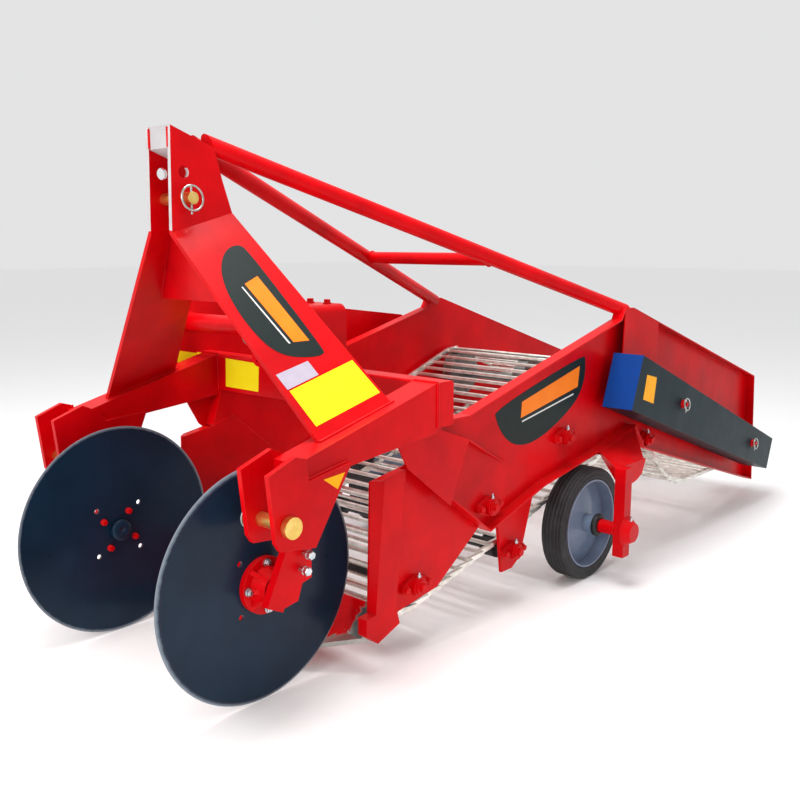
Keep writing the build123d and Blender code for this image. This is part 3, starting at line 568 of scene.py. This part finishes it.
# Cross beam, hitch arms and clevises: square tube and cut plate, jigged, welded all round and enamelled
# with the headstock. The beads show where the arms meet the clevises' plates and the beam.
dress(red_enamel, "cross_beam", "hitch_arm_left", "hitch_arm_right", "clevis_left", "clevis_right")
clevis_weld = [at(425.5, 46, 548), at(425.5, 52, 503), at(425.5, 166, 521), at(425.5, 150, 507)]
inner_weld = [at(356.5, 442.5, 545), at(356.5, 442.5, 644)]
upper_weld = [at(357, 443, 645), at(425, 443, 645)]
outer_weld = [at(425.3, 443, 546), at(425.3, 443, 645)]
arm_welds = both_sides([clevis_weld, inner_weld, upper_weld, outer_weld])
lay("hitch_arm_welds", arm_welds, "frame", "red_paint", Finish=red_enamel)


# Coulters: flat steel discs with a ground edge, bolted to ribbed cast hubs, enamelled navy and red. The
# shanks are flat bar, clamped to the clevises by two long bolts with nuts.
def disc_finish(name, centre):
    """Navy enamel that has chipped off the ground edge, as far as each point lies from the centre."""
    material = enamel(name, "#14293d", "#0e1f30", 0.3, 0.06, 0.2, shine=0.15)
    tree, shader, place = nodes_of(material)
    from_centre = add(tree, "ShaderNodeVectorMath", {0: place, 1: centre}, operation="SUBTRACT")
    flattened = add(
        tree, "ShaderNodeVectorMath", {0: from_centre.outputs[0], 1: (0, 1, 1)}, operation="MULTIPLY"
    )
    radius = add(tree, "ShaderNodeVectorMath", {0: flattened.outputs[0]}, operation="LENGTH")
    # the wear starts 5 mm inside the edge, and chips of about 11 mm make it ragged by up to 4 mm
    chips = add(tree, "ShaderNodeTexNoise", {"Vector": place, "Scale": 90.0, "Detail": 4.0})
    reach = add(
        tree,
        "ShaderNodeMath",
        {0: chips.outputs["Fac"], 1: 0.004, 2: radius.outputs["Value"]},
        operation="MULTIPLY_ADD",
    )
    bare = add(
        tree,
        "ShaderNodeMapRange",
        {"Value": reach.outputs[0], "From Min": 0.2485, "From Max": 0.2545, "To Max": 0.75},
    )
    painted = shader.inputs["Base Color"].links[0].from_socket
    edge = add(
        tree,
        "ShaderNodeMix",
        {FACTOR: bare.outputs[0], FIRST: painted, SECOND: linear("#8d98a3")},
        data_type="RGBA",
    )
    tree.links.new(edge.outputs[MIXED], shader.inputs["Base Color"])
    return material


def fasten(name, seats, body, slot_name, finish, flats, head, washer, thread=0.0, thread_radius=0.005):
    """Hexagon bolts or nuts on their seats. The widths, heights and radii are in metres."""
    sizes = {"Across Flats": flats, "Head": head, "Washer": washer}
    thread_end = {"Thread": thread, "Thread Radius": thread_radius}
    grow(name, bolts, seats, body, slot_name, Finish=finish, **sizes, **thread_end)


# zinc plating: bright, bluish and even
bright_zinc = metal("bright zinc plating", "#d5d9dc", "#b2b8bd", 0.3, (400, 400, 400))
hub_nut = {"flats": 0.013, "head": 0.006, "washer": 0.009, "thread": 0.005, "thread_radius": 0.004}
hub_head = {"flats": 0.013, "head": 0.006, "washer": 0.008}
clamp_nut = {"flats": 0.017, "head": 0.011, "washer": 0.0098}
clamp_thread = {"Leg": 0.0052, "Step": 0.0008, "Ripple": 0.07, "Pitch": 0.0022}
sides = (("left", 1), ("right", -1))
disc_x, disc_along, disc_high = 272, 66, 256
nut_circle, nut_x, head_x = 49, 290, 267.5
first_nut = {"left": 0.0, "right": 57.0}  # degrees, where each hub has stopped
clamp_spots = ((117, 325), (107, 294))
stud_ends, clamp_nut_x = (343, 366), 359
for side, sign in sides:
    disc_enamel = disc_finish("navy disc enamel " + side, at(sign * disc_x, disc_along, disc_high))
    dress(disc_enamel, "coulter_disc_" + side)
    dress(red_enamel, "coulter_hub_" + side, "coulter_shank_" + side)
    nut_seats, head_seats = [], []
    for step in range(4):
        turn = math.radians(first_nut[side] + 90 * step)
        along = disc_along + nut_circle * math.cos(turn)
        high = disc_high + nut_circle * math.sin(turn)
        nut_seats.append((at(sign * nut_x, along, high), (sign, 0, 0)))
        head_seats.append((at(sign * head_x, along, high), (-sign, 0, 0)))
    body = "coulter_" + side
    fasten("coulter_hub_nuts_" + side, nut_seats, body, "zinc", bright_zinc, **hub_nut)
    fasten("coulter_hub_bolt_heads_" + side, head_seats, body, "red_paint", red_enamel, **hub_head)
    studs = [[at(sign * x, along, high) for x in stud_ends] for along, high in clamp_spots]
    lay("shank_clamp_studs_" + side, studs, "frame", "zinc", **clamp_thread, Finish=bright_zinc)
    clamp_seats = [(at(sign * clamp_nut_x, along, high), (sign, 0, 0)) for along, high in clamp_spots]
    fasten("shank_clamp_nuts_" + side, clamp_seats, "frame", "zinc", bright_zinc, **clamp_nut)

# Side panels, front sheets and tie tubes: folded 4 mm sheet, with corner plates welded in under the
# beam's ends, and flat-bar posts down the front edges. They are welded to the beam and enamelled with it.
dress(red_enamel, "side_panel_left", "side_panel_right", "panel_ties")
dress(red_enamel, "front_sheet_left", "front_sheet_right")
# round the corner plate's front on the front sheet, and down the panel's joint behind it
corner_weld = [at(350.5, 416, 452), at(350.5, 480, 470), at(350.5, 610, 366)]
joint_weld = [at(354.5, 613, 489), at(354.5, 798, 395)]
panel_welds = both_sides([corner_weld, joint_weld])
lay("side_panel_welds", panel_welds, "frame", "red_paint", Leg=0.003, Finish=red_enamel)


# Share: a pointed blade of hard steel plate under the web's mouth. It leaves the works in red enamel,
# and the soil has already polished the enamel off its cutting edge.
def share_finish():
    """Red enamel worn through to streaked steel along the cutting edge."""
    material = enamel("red share enamel worn to steel", **red_coat)
    tree, shader, place = nodes_of(material)
    parts = add(tree, "ShaderNodeSeparateXYZ", {0: place})
    outward = add(tree, "ShaderNodeMath", {0: parts.outputs["X"]}, operation="ABSOLUTE")
    # how far a point lies behind the slanted edge. Streaks 11 mm apart, drawn out along the travel, make
    # it ragged, and the steel is bare ahead of the line where it passes the two limits below.
    behind = add(
        tree,
        "ShaderNodeMath",
        {0: outward.outputs[0], 1: -0.8, 2: parts.outputs["Y"]},
        operation="MULTIPLY_ADD",
    )
    streaked = add(tree, "ShaderNodeMapping", {"Vector": place, "Scale": (90, 6, 90)})
    streaks = add(tree, "ShaderNodeTexNoise", {"Vector": streaked.outputs[0], "Scale": 1.0, "Detail": 4.0})
    ragged = add(
        tree,
        "ShaderNodeMath",
        {0: streaks.outputs["Fac"], 1: -0.05, 2: behind.outputs[0]},
        operation="MULTIPLY_ADD",
    )
    bare = add(tree, "ShaderNodeMapRange", {"Value": ragged.outputs[0], "From Min": -1.07, "From Max": -1.08})
    painted = shader.inputs["Base Color"].links[0].from_socket
    steel = add(
        tree,
        "ShaderNodeMix",
        {FACTOR: streaks.outputs["Fac"], FIRST: linear("#c2c0bb"), SECOND: linear("#8e8b86")},
        data_type="RGBA",
    )
    both = add(
        tree,
        "ShaderNodeMix",
        {FACTOR: bare.outputs[0], FIRST: painted, SECOND: steel.outputs[MIXED]},
        data_type="RGBA",
    )
    tree.links.new(both.outputs[MIXED], shader.inputs["Base Color"])
    tree.links.new(bare.outputs[0], shader.inputs["Metallic"])
    return material


dress(share_finish(), "share")

# Rod web: drawn spring-steel rods whose ends are bent into leaning hooks, each hung in the next, driven
# by a shaft with toothed wheels, turned by a tail shaft and carried by rubber-tyred rollers.
# The rods are pale, with fine lines along them, the shafts are dull, and oil darkens the side chain.
web_steel = metal("drawn spring steel", "#f3f1ea", "#cfccc3", 0.42, (40, 500, 500), 0.2)
shaft_steel = metal("dull drawn shaft steel", "#8f8d8a", "#6b6865", 0.42, (30, 400, 400), 0.2)
chain_steel = metal("oiled chain steel", "#5c554d", "#38332e", 0.38, (200, 200, 200), 0.3)
dress(web_steel, "rod_web")
dress(shaft_steel, "drive_shaft", "tail_shaft")
dress(chain_steel, "side_chain")


def rubber(name, colour, pale, rough, bump_scale):
    """Moulded rubber: matt black that greys in patches of about 45 mm, with a skin whose grain is drawn
    at 4 to 6 mm so that it shows."""
    material, tree, shader, place = new_material(name)
    bloom = add(
        tree, "ShaderNodeTexNoise", {"Vector": place, "Scale": 22.0, "Detail": 6.0, "Roughness": 0.65}
    )
    spread = add(
        tree, "ShaderNodeMapRange", {"Value": bloom.outputs["Fac"], "From Min": 0.4, "From Max": 0.75}
    )
    body = add(
        tree,
        "ShaderNodeMix",
        {FACTOR: spread.outputs[0], FIRST: linear(colour), SECOND: linear(pale)},
        data_type="RGBA",
    )
    tree.links.new(body.outputs[MIXED], shader.inputs["Base Color"])
    skin = add(tree, "ShaderNodeTexNoise", {"Vector": place, "Scale": bump_scale, "Detail": 3.0})
    rounded = add(tree, "ShaderNodeBevel", {"Radius": 0.0012}, samples=4)
    grainy = add(
        tree,
        "ShaderNodeBump",
        {"Height": skin.outputs["Fac"], "Normal": rounded.outputs[0], "Strength": 0.35, "Distance": 0.0006},
    )
    tree.links.new(grainy.outputs[0], shader.inputs["Normal"])
    gloss = add(
        tree,
        "ShaderNodeMapRange",
        {"Value": bloom.outputs["Fac"], "To Min": rough - 0.12, "To Max": rough + 0.14},
    )
    tree.links.new(gloss.outputs[0], shader.inputs["Roughness"])
    shader.inputs["Specular IOR Level"].default_value = 0.4
    return material


dress(rubber("roller rubber", "#1b1b1c", "#37363a", 0.6, 260.0), "web_rollers")

# Flange bearings: cast two-bolt housings on the panels, enamelled in place with their bolts, each with
# a bright grease nipple on top. A bolt closes each shaft's end, except where the shaft goes on outside.
dress(red_enamel, "bearings_left", "bearings_right")
# each one's place along and high, and how far out its sheet's face is
bearing_seats = (
    (450, 163, 350),
    (839, 148, 350),
    (725, 294.4, 354),
    (1070, 416.8, 354),
    (1430, 500, 354),
    (1546, 334, 354),
    (2254, 193, 354),
)
shaft_goes_on = ((1430, 1), (1430, -1), (2254, 1))
ear, ear_out, end_out, nipple_out, nipple_up = 38, 11, 26, 18, 22
bearing_bolt = {"flats": 0.015, "head": 0.008, "washer": 0.0105, "thread": 0.003, "thread_radius": 0.004}
end_bolt = {"flats": 0.019, "head": 0.009, "washer": 0.0175}
nipple = {"flats": 0.008, "head": 0.005, "washer": 0.0045, "thread": 0.007, "thread_radius": 0.0024}
for side, sign in sides:
    outward = (sign, 0, 0)
    ear_seats, end_seats, nipple_seats = [], [], []
    for along, high, face in bearing_seats:
        ear_seats += [(at(sign * (face + ear_out), along + reach, high), outward) for reach in (-ear, ear)]
        nipple_seats.append((at(sign * (face + nipple_out), along, high + nipple_up), (0, 0, 1)))
        if (along, sign) not in shaft_goes_on:
            end_seats.append((at(sign * (face + end_out), along, high), outward))
    fasten("bearing_end_bolts_" + side, end_seats, "frame", "red_paint", red_enamel, **end_bolt)
    fasten("bearing_bolts_" + side, ear_seats, "frame", "red_paint", red_enamel, **bearing_bolt)
    fasten("grease_nipples_" + side, nipple_seats, "frame", "zinc", bright_zinc, **nipple)

# Stays and their brace: round steel tube from the headstock's top to the panels' peaks, enamelled red.
# The brace between them is mitred to their sides and welded round at both ends.
dress(red_enamel, "stay_left", "stay_right", "stay_brace")
leftward = (1, 0, 0)
brace_end, brace_radius = (214, 908, 902), 0.0175
brace_rings = both_sides([ring(at(*brace_end), leftward, brace_radius)])
lay("stay_welds", brace_rings, "frame", "red_paint", Leg=0.003, Finish=red_enamel)

# Drive: a cast gearbox bolted on the beam, with a splined stub for the tractor's shaft, a tube that
# carries the cross shaft, a closed case on the right side and a sheet-steel guard over the left chain.
dress(red_enamel, "gearbox", "cross_tube", "drive_case")
# navy enamel: almost black and satin. The end that faces ahead is given a brighter blue, which is painted
# light where the front lamps fall on that end.
navy_coat = {"colour": "#10272e", "deep": "#0c1f26", "rough": 0.38, "coat": 0.04, "peel": 0.25, "shine": 0.1}
guard_enamel = enamel("navy guard enamel, painted lighter on its lit end", **navy_coat, ahead=(0.0, "#0d3f8c", "#0b3679"))
dress(guard_enamel, "chain_guard")
forward, upward = (0, -1, 0), (0, 0, 1)
drive_high = 730
screw_circle, collar_face = 29, 332.5
screw_seats = []
for step in range(6):
    turn = math.radians(60 * step)
    across, high = screw_circle * math.cos(turn), drive_high + screw_circle * math.sin(turn)
    screw_seats.append((at(across, collar_face, high), forward))
fasten("stub_collar_screws", screw_seats, "frame", "zinc", bright_zinc, flats=0.01, head=0.005, washer=0.006)
gearbox_front, gearbox_top = 350.5, 801
corner_spots = ((-74, 666), (-74, 780), (0, 666), (74, 666), (74, 780))
gearbox_seats = [(at(x, gearbox_front, high), forward) for x, high in corner_spots]
gearbox_seats += [(at(x, along, gearbox_top), upward) for x in (-60, 0, 60) for along in (382, 462)]
gearbox_bolt = {"flats": 0.015, "head": 0.008, "washer": 0.0105}
fasten("gearbox_bolts", gearbox_seats, "frame", "red_paint", red_enamel, **gearbox_bolt)
# the case's bolts, by place along and height, from the front back
case_face = -536
case_spots = (
    (388, 790),
    (388, 582),
    (600, 770),
    (600, 582),
    (824, 728),
    (865, 580),
    (1080, 704),
    (1130, 524),
    (1290, 668),
    (1472, 592),
    (1472, 478),
    (1402, 448),
)
case_seats = [(at(case_face, along, high), (-1, 0, 0)) for along, high in case_spots]
case_bolt = {"flats": 0.013, "head": 0.0045, "washer": 0.009}
fasten("drive_case_bolts", case_seats, "frame", "red_paint", red_enamel, **case_bolt)
# the cross tube is welded round at the gearbox and at the case
tube_ends, tube_along, tube_radius = (-96, -454), 422, 0.0255
tube_rings = [ring(at(x, tube_along, drive_high), leftward, tube_radius) for x in tube_ends]
lay("cross_tube_welds", tube_rings, "frame", "red_paint", Leg=0.0035, Finish=red_enamel)


def loft(name, rings, body, finish, turned=False):
    """Skin over rings that have as many places each. Its ends are capped, but a turned piece's last ring
    joins its first, and its faces are shaded smooth."""
    shape = bmesh.new()
    rows = [[shape.verts.new(spot) for spot in row] for row in rings]
    pairs = list(zip(rows, rows[1:])) + ([(rows[-1], rows[0])] if turned else [])
    for near, far in pairs:
        for i in range(len(near)):
            j = (i + 1) % len(near)
            shape.faces.new((near[i], near[j], far[j], far[i]))
    if not turned:
        shape.faces.new(rows[0])
        shape.faces.new(rows[-1])
    bmesh.ops.recalc_face_normals(shape, faces=shape.faces)
    skin = bpy.data.meshes.new(name)
    shape.to_mesh(skin)
    shape.free()
    for face in skin.polygons:
        face.use_smooth = turned
    skin.materials.append(finish)
    piece = bpy.data.objects.new(name, skin)
    bpy.context.scene.collection.objects.link(piece)
    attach(piece, body)
    return piece


def spline_ring(along, shrink):
    """Six-splined section of the stub at one place along it, in radii of a tooth's four corners."""
    spots = []
    for tooth in range(6):
        for degrees, radius in ((-21, 17.5), (-15, 18.4), (15, 18.4), (21, 17.55)):
            turn = math.radians(60 * tooth + degrees)
            reach = radius * shrink
            spots.append(at(reach * math.cos(turn), along, drive_high + reach * math.sin(turn)))
    return spots


# the splines end in a chamfer, and a shallow groove takes the shaft's locking pin
stub_sections = ((260, 0.9), (263, 1.0), (296, 1.0), (300, 0.98), (304, 1.0), (333, 1.0))
stub_rings = [spline_ring(along, shrink) for along, shrink in stub_sections]
loft("splined_stub", stub_rings, "frame", shaft_steel)

# two nuts hold the guard, each on a short stud with a ring clip through its end
guard_face, clip_x = 480.5, 490
guard_spots = ((1551, 460), (2131, 243))
stud_seats = [(at(guard_face, along, high), leftward) for along, high in guard_spots]
guard_nut = {"flats": 0.019, "head": 0.006, "washer": 0.014, "thread": 0.009, "thread_radius": 0.0065}
fasten("guard_nuts", stud_seats, "frame", "red_paint", red_enamel, **guard_nut)
guard_clips = []
for along, high in guard_spots:
    guard_clips += lynch(clip_x, along, high, 1, 0.018)
lay("guard_ring_clips", guard_clips, "frame", "zinc", Leg=0.0022, **wire)

# Wheel brackets: a pad welded along the panel's flange, and a square tube that carries the stub axle
# outside the wheel, closed by a forged cap with a grease nipple.
dress(red_enamel, "wheel_bracket_left", "wheel_bracket_right")
wheel_along, wheel_high = 1150, 160
pad_weld = [at(385.4, 1229, 350), at(385.4, 1430, 392)]
cap_weld = ring(at(520.5, wheel_along, wheel_high), leftward, 0.0395, 40)
axle_weld = ring(at(487.6, wheel_along, wheel_high), leftward, 0.0195)
bracket_welds = both_sides([pad_weld, cap_weld, axle_weld])
lay("wheel_bracket_welds", bracket_welds, "frame", "red_paint", Leg=0.003, Finish=red_enamel)
cap_x, cap_top, lean = 531, 193, 0.3  # each nipple leans out a little
cap_seats = [(at(sign * cap_x, wheel_along, cap_top), (lean * sign, 0, 1)) for sign in (1, -1)]
fasten("wheel_cap_nipples", cap_seats, "frame", "zinc", bright_zinc, **nipple)

# Wheels: pressed steel rims in blue-grey enamel with solid rubber tyres, whose broad tread has rings of
# grooves. A rubber seal closes the outer end of each hub.
# rim enamel: cool and thick, glossier than the frame's. The tread's rubber is greyer than the seal's.
rim_enamel = enamel("blue-grey rim enamel", "#76859a", "#5d6c86", 0.3, 0.35, 0.3)
seal_rubber = rubber("black seal rubber", "#141415", "#2a2a2c", 0.5, 300.0)
tread_rubber = rubber("tyre rubber", "#171719", "#343437", 0.62, 180.0)
dress(rim_enamel, "wheel_rim_left", "wheel_rim_right")


def spun(name, profile, sign, along, high, steps, body, slot_name, finish):
    """Ring turned about an axle from a closed profile of places across and radii."""
    rings = []
    for step in range(steps):
        turn = 2 * math.pi * step / steps
        back, rise = math.cos(turn), math.sin(turn)
        rings.append([at(sign * x, along + radius * back, high + radius * rise) for x, radius in profile])
    return loft(name, rings, body, finish, turned=True)


# places across and radii: the inner wall, the tread with its grooves, the outer wall with its ridge
tyre_profile = [(350, 127.2), (345, 130), (342, 138), (341.5, 147), (343, 153.5), (346, 157.5), (350, 159.4)]
tread, groove_floor, half_top, half_floor = 159.9, 155.5, 2.2, 1.2
for groove in (357, 367, 379, 391, 401):
    tyre_profile += [(groove - half_top, tread), (groove - half_floor, groove_floor)]
    tyre_profile += [(groove + half_floor, groove_floor), (groove + half_top, tread)]
tyre_profile += [(407, 159), (410, 156), (411.6, 151), (411.2, 145), (410.0, 143.4), (410.9, 141.8)]
tyre_profile += [(410.6, 134), (409.5, 129), (407.5, 127.2)]
seal_profile = [(424, 26.3), (424, 30.5), (426, 31.5), (434, 31.5), (438, 29), (440, 25)]
seal_profile += [(440, 20.2), (433, 20.2), (433, 26.3)]
for side, sign in sides:
    wheel, hub = "wheel_" + side, (wheel_along, wheel_high)
    tyre = spun("grooved_tyre_" + side, tyre_profile, sign, *hub, 112, wheel, "tyre", tread_rubber)
    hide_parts("tyre_" + side)
    spun("hub_seal_" + side, seal_profile, sign, *hub, 48, wheel, "roller_rubber", seal_rubber)

# Spindle caps: pressed steel cups pushed over the inner end of each coulter's spindle, so that soil stays
# out of the bearing. They are enamelled navy with the discs.
navy_enamel = enamel("navy stoving enamel", "#14293d", "#0e1f30", 0.34, 0.05, 0.25, shine=0.15)
cup_profile = [(264.5, 26), (255.5, 26), (253.2, 24), (251.8, 14), (251.3, 0.4)]
cup_profile += [(256.7, 0.4), (256.7, 24.3), (264.5, 24.3)]
for side, sign in sides:
    cap_name = "spindle_cap_" + side
    spun(cap_name, cup_profile, sign, disc_along, disc_high, 48, "frame", "blue_paint", navy_enamel)


# Patches: blank self-adhesive vinyl and tape, cut to shape and laid on the finished enamel. They carry no
# print, only plain stripes on the dark ones.
def vinyl(name, colour, deep, rough):
    """Calendered vinyl film: even colour with clouds of about 33 mm, and a gloss scuffed at 4 mm."""
    material, tree, shader, place = new_material(name)
    clouds = add(tree, "ShaderNodeTexNoise", {"Vector": place, "Scale": 30.0, "Detail": 4.0})
    body = add(
        tree,
        "ShaderNodeMix",
        {FACTOR: clouds.outputs["Fac"], FIRST: linear(colour), SECOND: linear(deep)},
        data_type="RGBA",
    )
    tree.links.new(body.outputs[MIXED], shader.inputs["Base Color"])
    scuffs = add(tree, "ShaderNodeTexNoise", {"Vector": place, "Scale": 240.0, "Detail": 2.0})
    gloss = add(
        tree,
        "ShaderNodeMapRange",
        {"Value": scuffs.outputs["Fac"], "To Min": rough - 0.08, "To Max": rough + 0.1},
    )
    tree.links.new(gloss.outputs[0], shader.inputs["Roughness"])
    film = add(
        tree, "ShaderNodeBump", {"Height": scuffs.outputs["Fac"], "Strength": 0.15, "Distance": 0.0004}
    )
    tree.links.new(film.outputs[0], shader.inputs["Normal"])
    shader.inputs["Specular IOR Level"].default_value = 0.15
    return material


def rounded_off(outline, times):
    """The outline with its corners cut again and again, until it is a smooth curve."""
    for _ in range(times):
        cut = []
        for near, far in zip(outline, outline[1:] + outline[:1]):
            cut.append(tuple(0.75 * a + 0.25 * b for a, b in zip(near, far)))
            cut.append(tuple(0.25 * a + 0.75 * b for a, b in zip(near, far)))
        outline = cut
    return outline


# the splayed plate's own directions: along its bend, down from it, and out of its face
splay, slope = math.radians(40.3), math.atan2(44, 156)
plate_along = Vector((0, math.cos(slope), math.sin(slope)))
plate_down = Vector((math.sin(splay), math.cos(splay) * math.sin(slope), -math.cos(splay) * math.cos(slope)))
plate_out = Vector((math.cos(splay), -math.sin(splay) * math.sin(slope), math.sin(splay) * math.cos(slope)))


def on_plate(outline):
    """Places on the splayed headstock plate, from millimetres along its bend and down from it."""
    bend_start = Vector(at(44, 40, 966))
    return [tuple(bend_start + (along * plate_along + down * plate_down) / 1000) for along, down in outline]


def on_side(x, outline):
    """Places on an upright face at one distance across."""
    return [at(x, along, high) for along, high in outline]


def on_beam(outline):
    """Places on the beam's front face, from distances across and heights."""
    beam_front = 443
    return [at(x, beam_front, high) for x, high in outline]


# vinyl: an even film, free of the enamel's dust and drips. Silver and amber are a little smoother.
charcoal_film = vinyl("charcoal vinyl", "#1f2a28", "#172120", 0.4)
yellow_film = vinyl("yellow vinyl", "#f6ea1e", "#efdf10", 0.4)
silver_film = vinyl("silver-grey vinyl", "#c3b9c6", "#a99fb2", 0.35)
orange_film = vinyl("orange vinyl", "#ff8a1e", "#f47812", 0.38)
amber_film = vinyl("amber reflective tape", "#ffb400", "#f7a300", 0.35)
white_film = vinyl("white vinyl", "#e9e9e6", "#d4d4d2", 0.4)

# a dark leaf on each tower plate and on the left panel, each with a stripe over it, and the left ones
# with a line beside the stripe
tower_leaf = [(122, 79), (99, 75), (70, 87), (42, 115), (25, 147), (13, 187), (7, 235), (8, 282)]
tower_leaf += [(15, 319), (32, 346), (57, 364), (97, 381), (117, 382), (123, 376), (128, 214), (129, 96)]
tower_leaf = on_plate(rounded_off(tower_leaf, 2))
tower_stripe = on_plate([(66, 168), (106, 162), (108, 342), (72, 330)])
tower_line = on_plate([(54, 172), (57, 172), (64, 330), (60, 328)])
tower_yellow = on_plate([(-13, 419), (167, 423), (171, 514), (-15, 509)])
tower_silver = on_plate([(-15, 376), (71, 380), (71, 417), (-15, 415)])
right_leaf = [(-x, y, z) for x, y, z in tower_leaf]
right_stripe = [(-x, y, z) for x, y, z in tower_stripe]
right_out = (-plate_out.x, plate_out.y, plate_out.z)
panel_leaf = [(751, 534), (1170, 637), (1181, 620), (1181, 572), (1152, 520), (1091, 481)]
panel_leaf += [(1008, 446), (939, 427), (883, 423), (828, 435), (785, 467), (758, 508)]
panel_face, guard_side, case_inside, clevis_side = 354, 480, -455, 437
panel_leaf = on_side(panel_face, rounded_off(panel_leaf, 2))
panel_stripe = on_side(panel_face, [(866, 498), (1142, 548), (1150, 606), (870, 540)])
panel_line = on_side(panel_face, [(872, 486), (1120, 528), (1121, 532), (872, 490)])
beam_yellow = on_beam([(-321, 637), (-181, 634), (-186, 559), (-324, 559)])
beam_end = on_beam([(-452, 643), (-389, 643), (-389, 606), (-452, 606)])
guard_yellow = on_side(guard_side, [(1308, 576), (1368, 562), (1354, 487), (1290, 507)])
case_end = on_side(case_inside, [(376, 654), (443, 640), (443, 609), (376, 621)])
clevis_corner = on_side(clevis_side, [(89, 500), (146, 504), (126, 474)])

# each film's name, outline, outward direction, how far its back is off the enamel in mm, and its vinyl
film_thick, on_enamel, on_film = 0.4, 0.2, 0.7
films = (
    ("tower_leaf_patch", tower_leaf, plate_out, on_enamel, charcoal_film),
    ("tower_leaf_stripe", tower_stripe, plate_out, on_film, orange_film),
    ("tower_leaf_line", tower_line, plate_out, on_film, white_film),
    ("tower_yellow_patch", tower_yellow, plate_out, on_enamel, yellow_film),
    ("tower_silver_patch", tower_silver, plate_out, on_enamel, silver_film),
    ("right_tower_leaf", right_leaf, right_out, on_enamel, charcoal_film),
    ("right_tower_stripe", right_stripe, right_out, on_film, orange_film),
    ("panel_leaf_patch", panel_leaf, leftward, on_enamel, charcoal_film),
    ("panel_leaf_stripe", panel_stripe, leftward, on_film, orange_film),
    ("panel_leaf_line", panel_line, leftward, on_film, white_film),
    ("beam_yellow_patch", beam_yellow, forward, on_enamel, yellow_film),
    ("beam_end_patch", beam_end, forward, on_enamel, yellow_film),
    ("guard_yellow_patch", guard_yellow, leftward, on_enamel, amber_film),
    ("case_end_patch", case_end, leftward, on_enamel, yellow_film),
    ("clevis_reflective_patch", clevis_corner, leftward, on_enamel, amber_film),
)
for name, outline, outward, lift, film in films:
    out = Vector(outward).normalized() / 1000
    faces = [[tuple(Vector(spot) + out * height) for spot in outline] for height in (lift, lift + film_thick)]
    loft(name, faces, "frame", film)
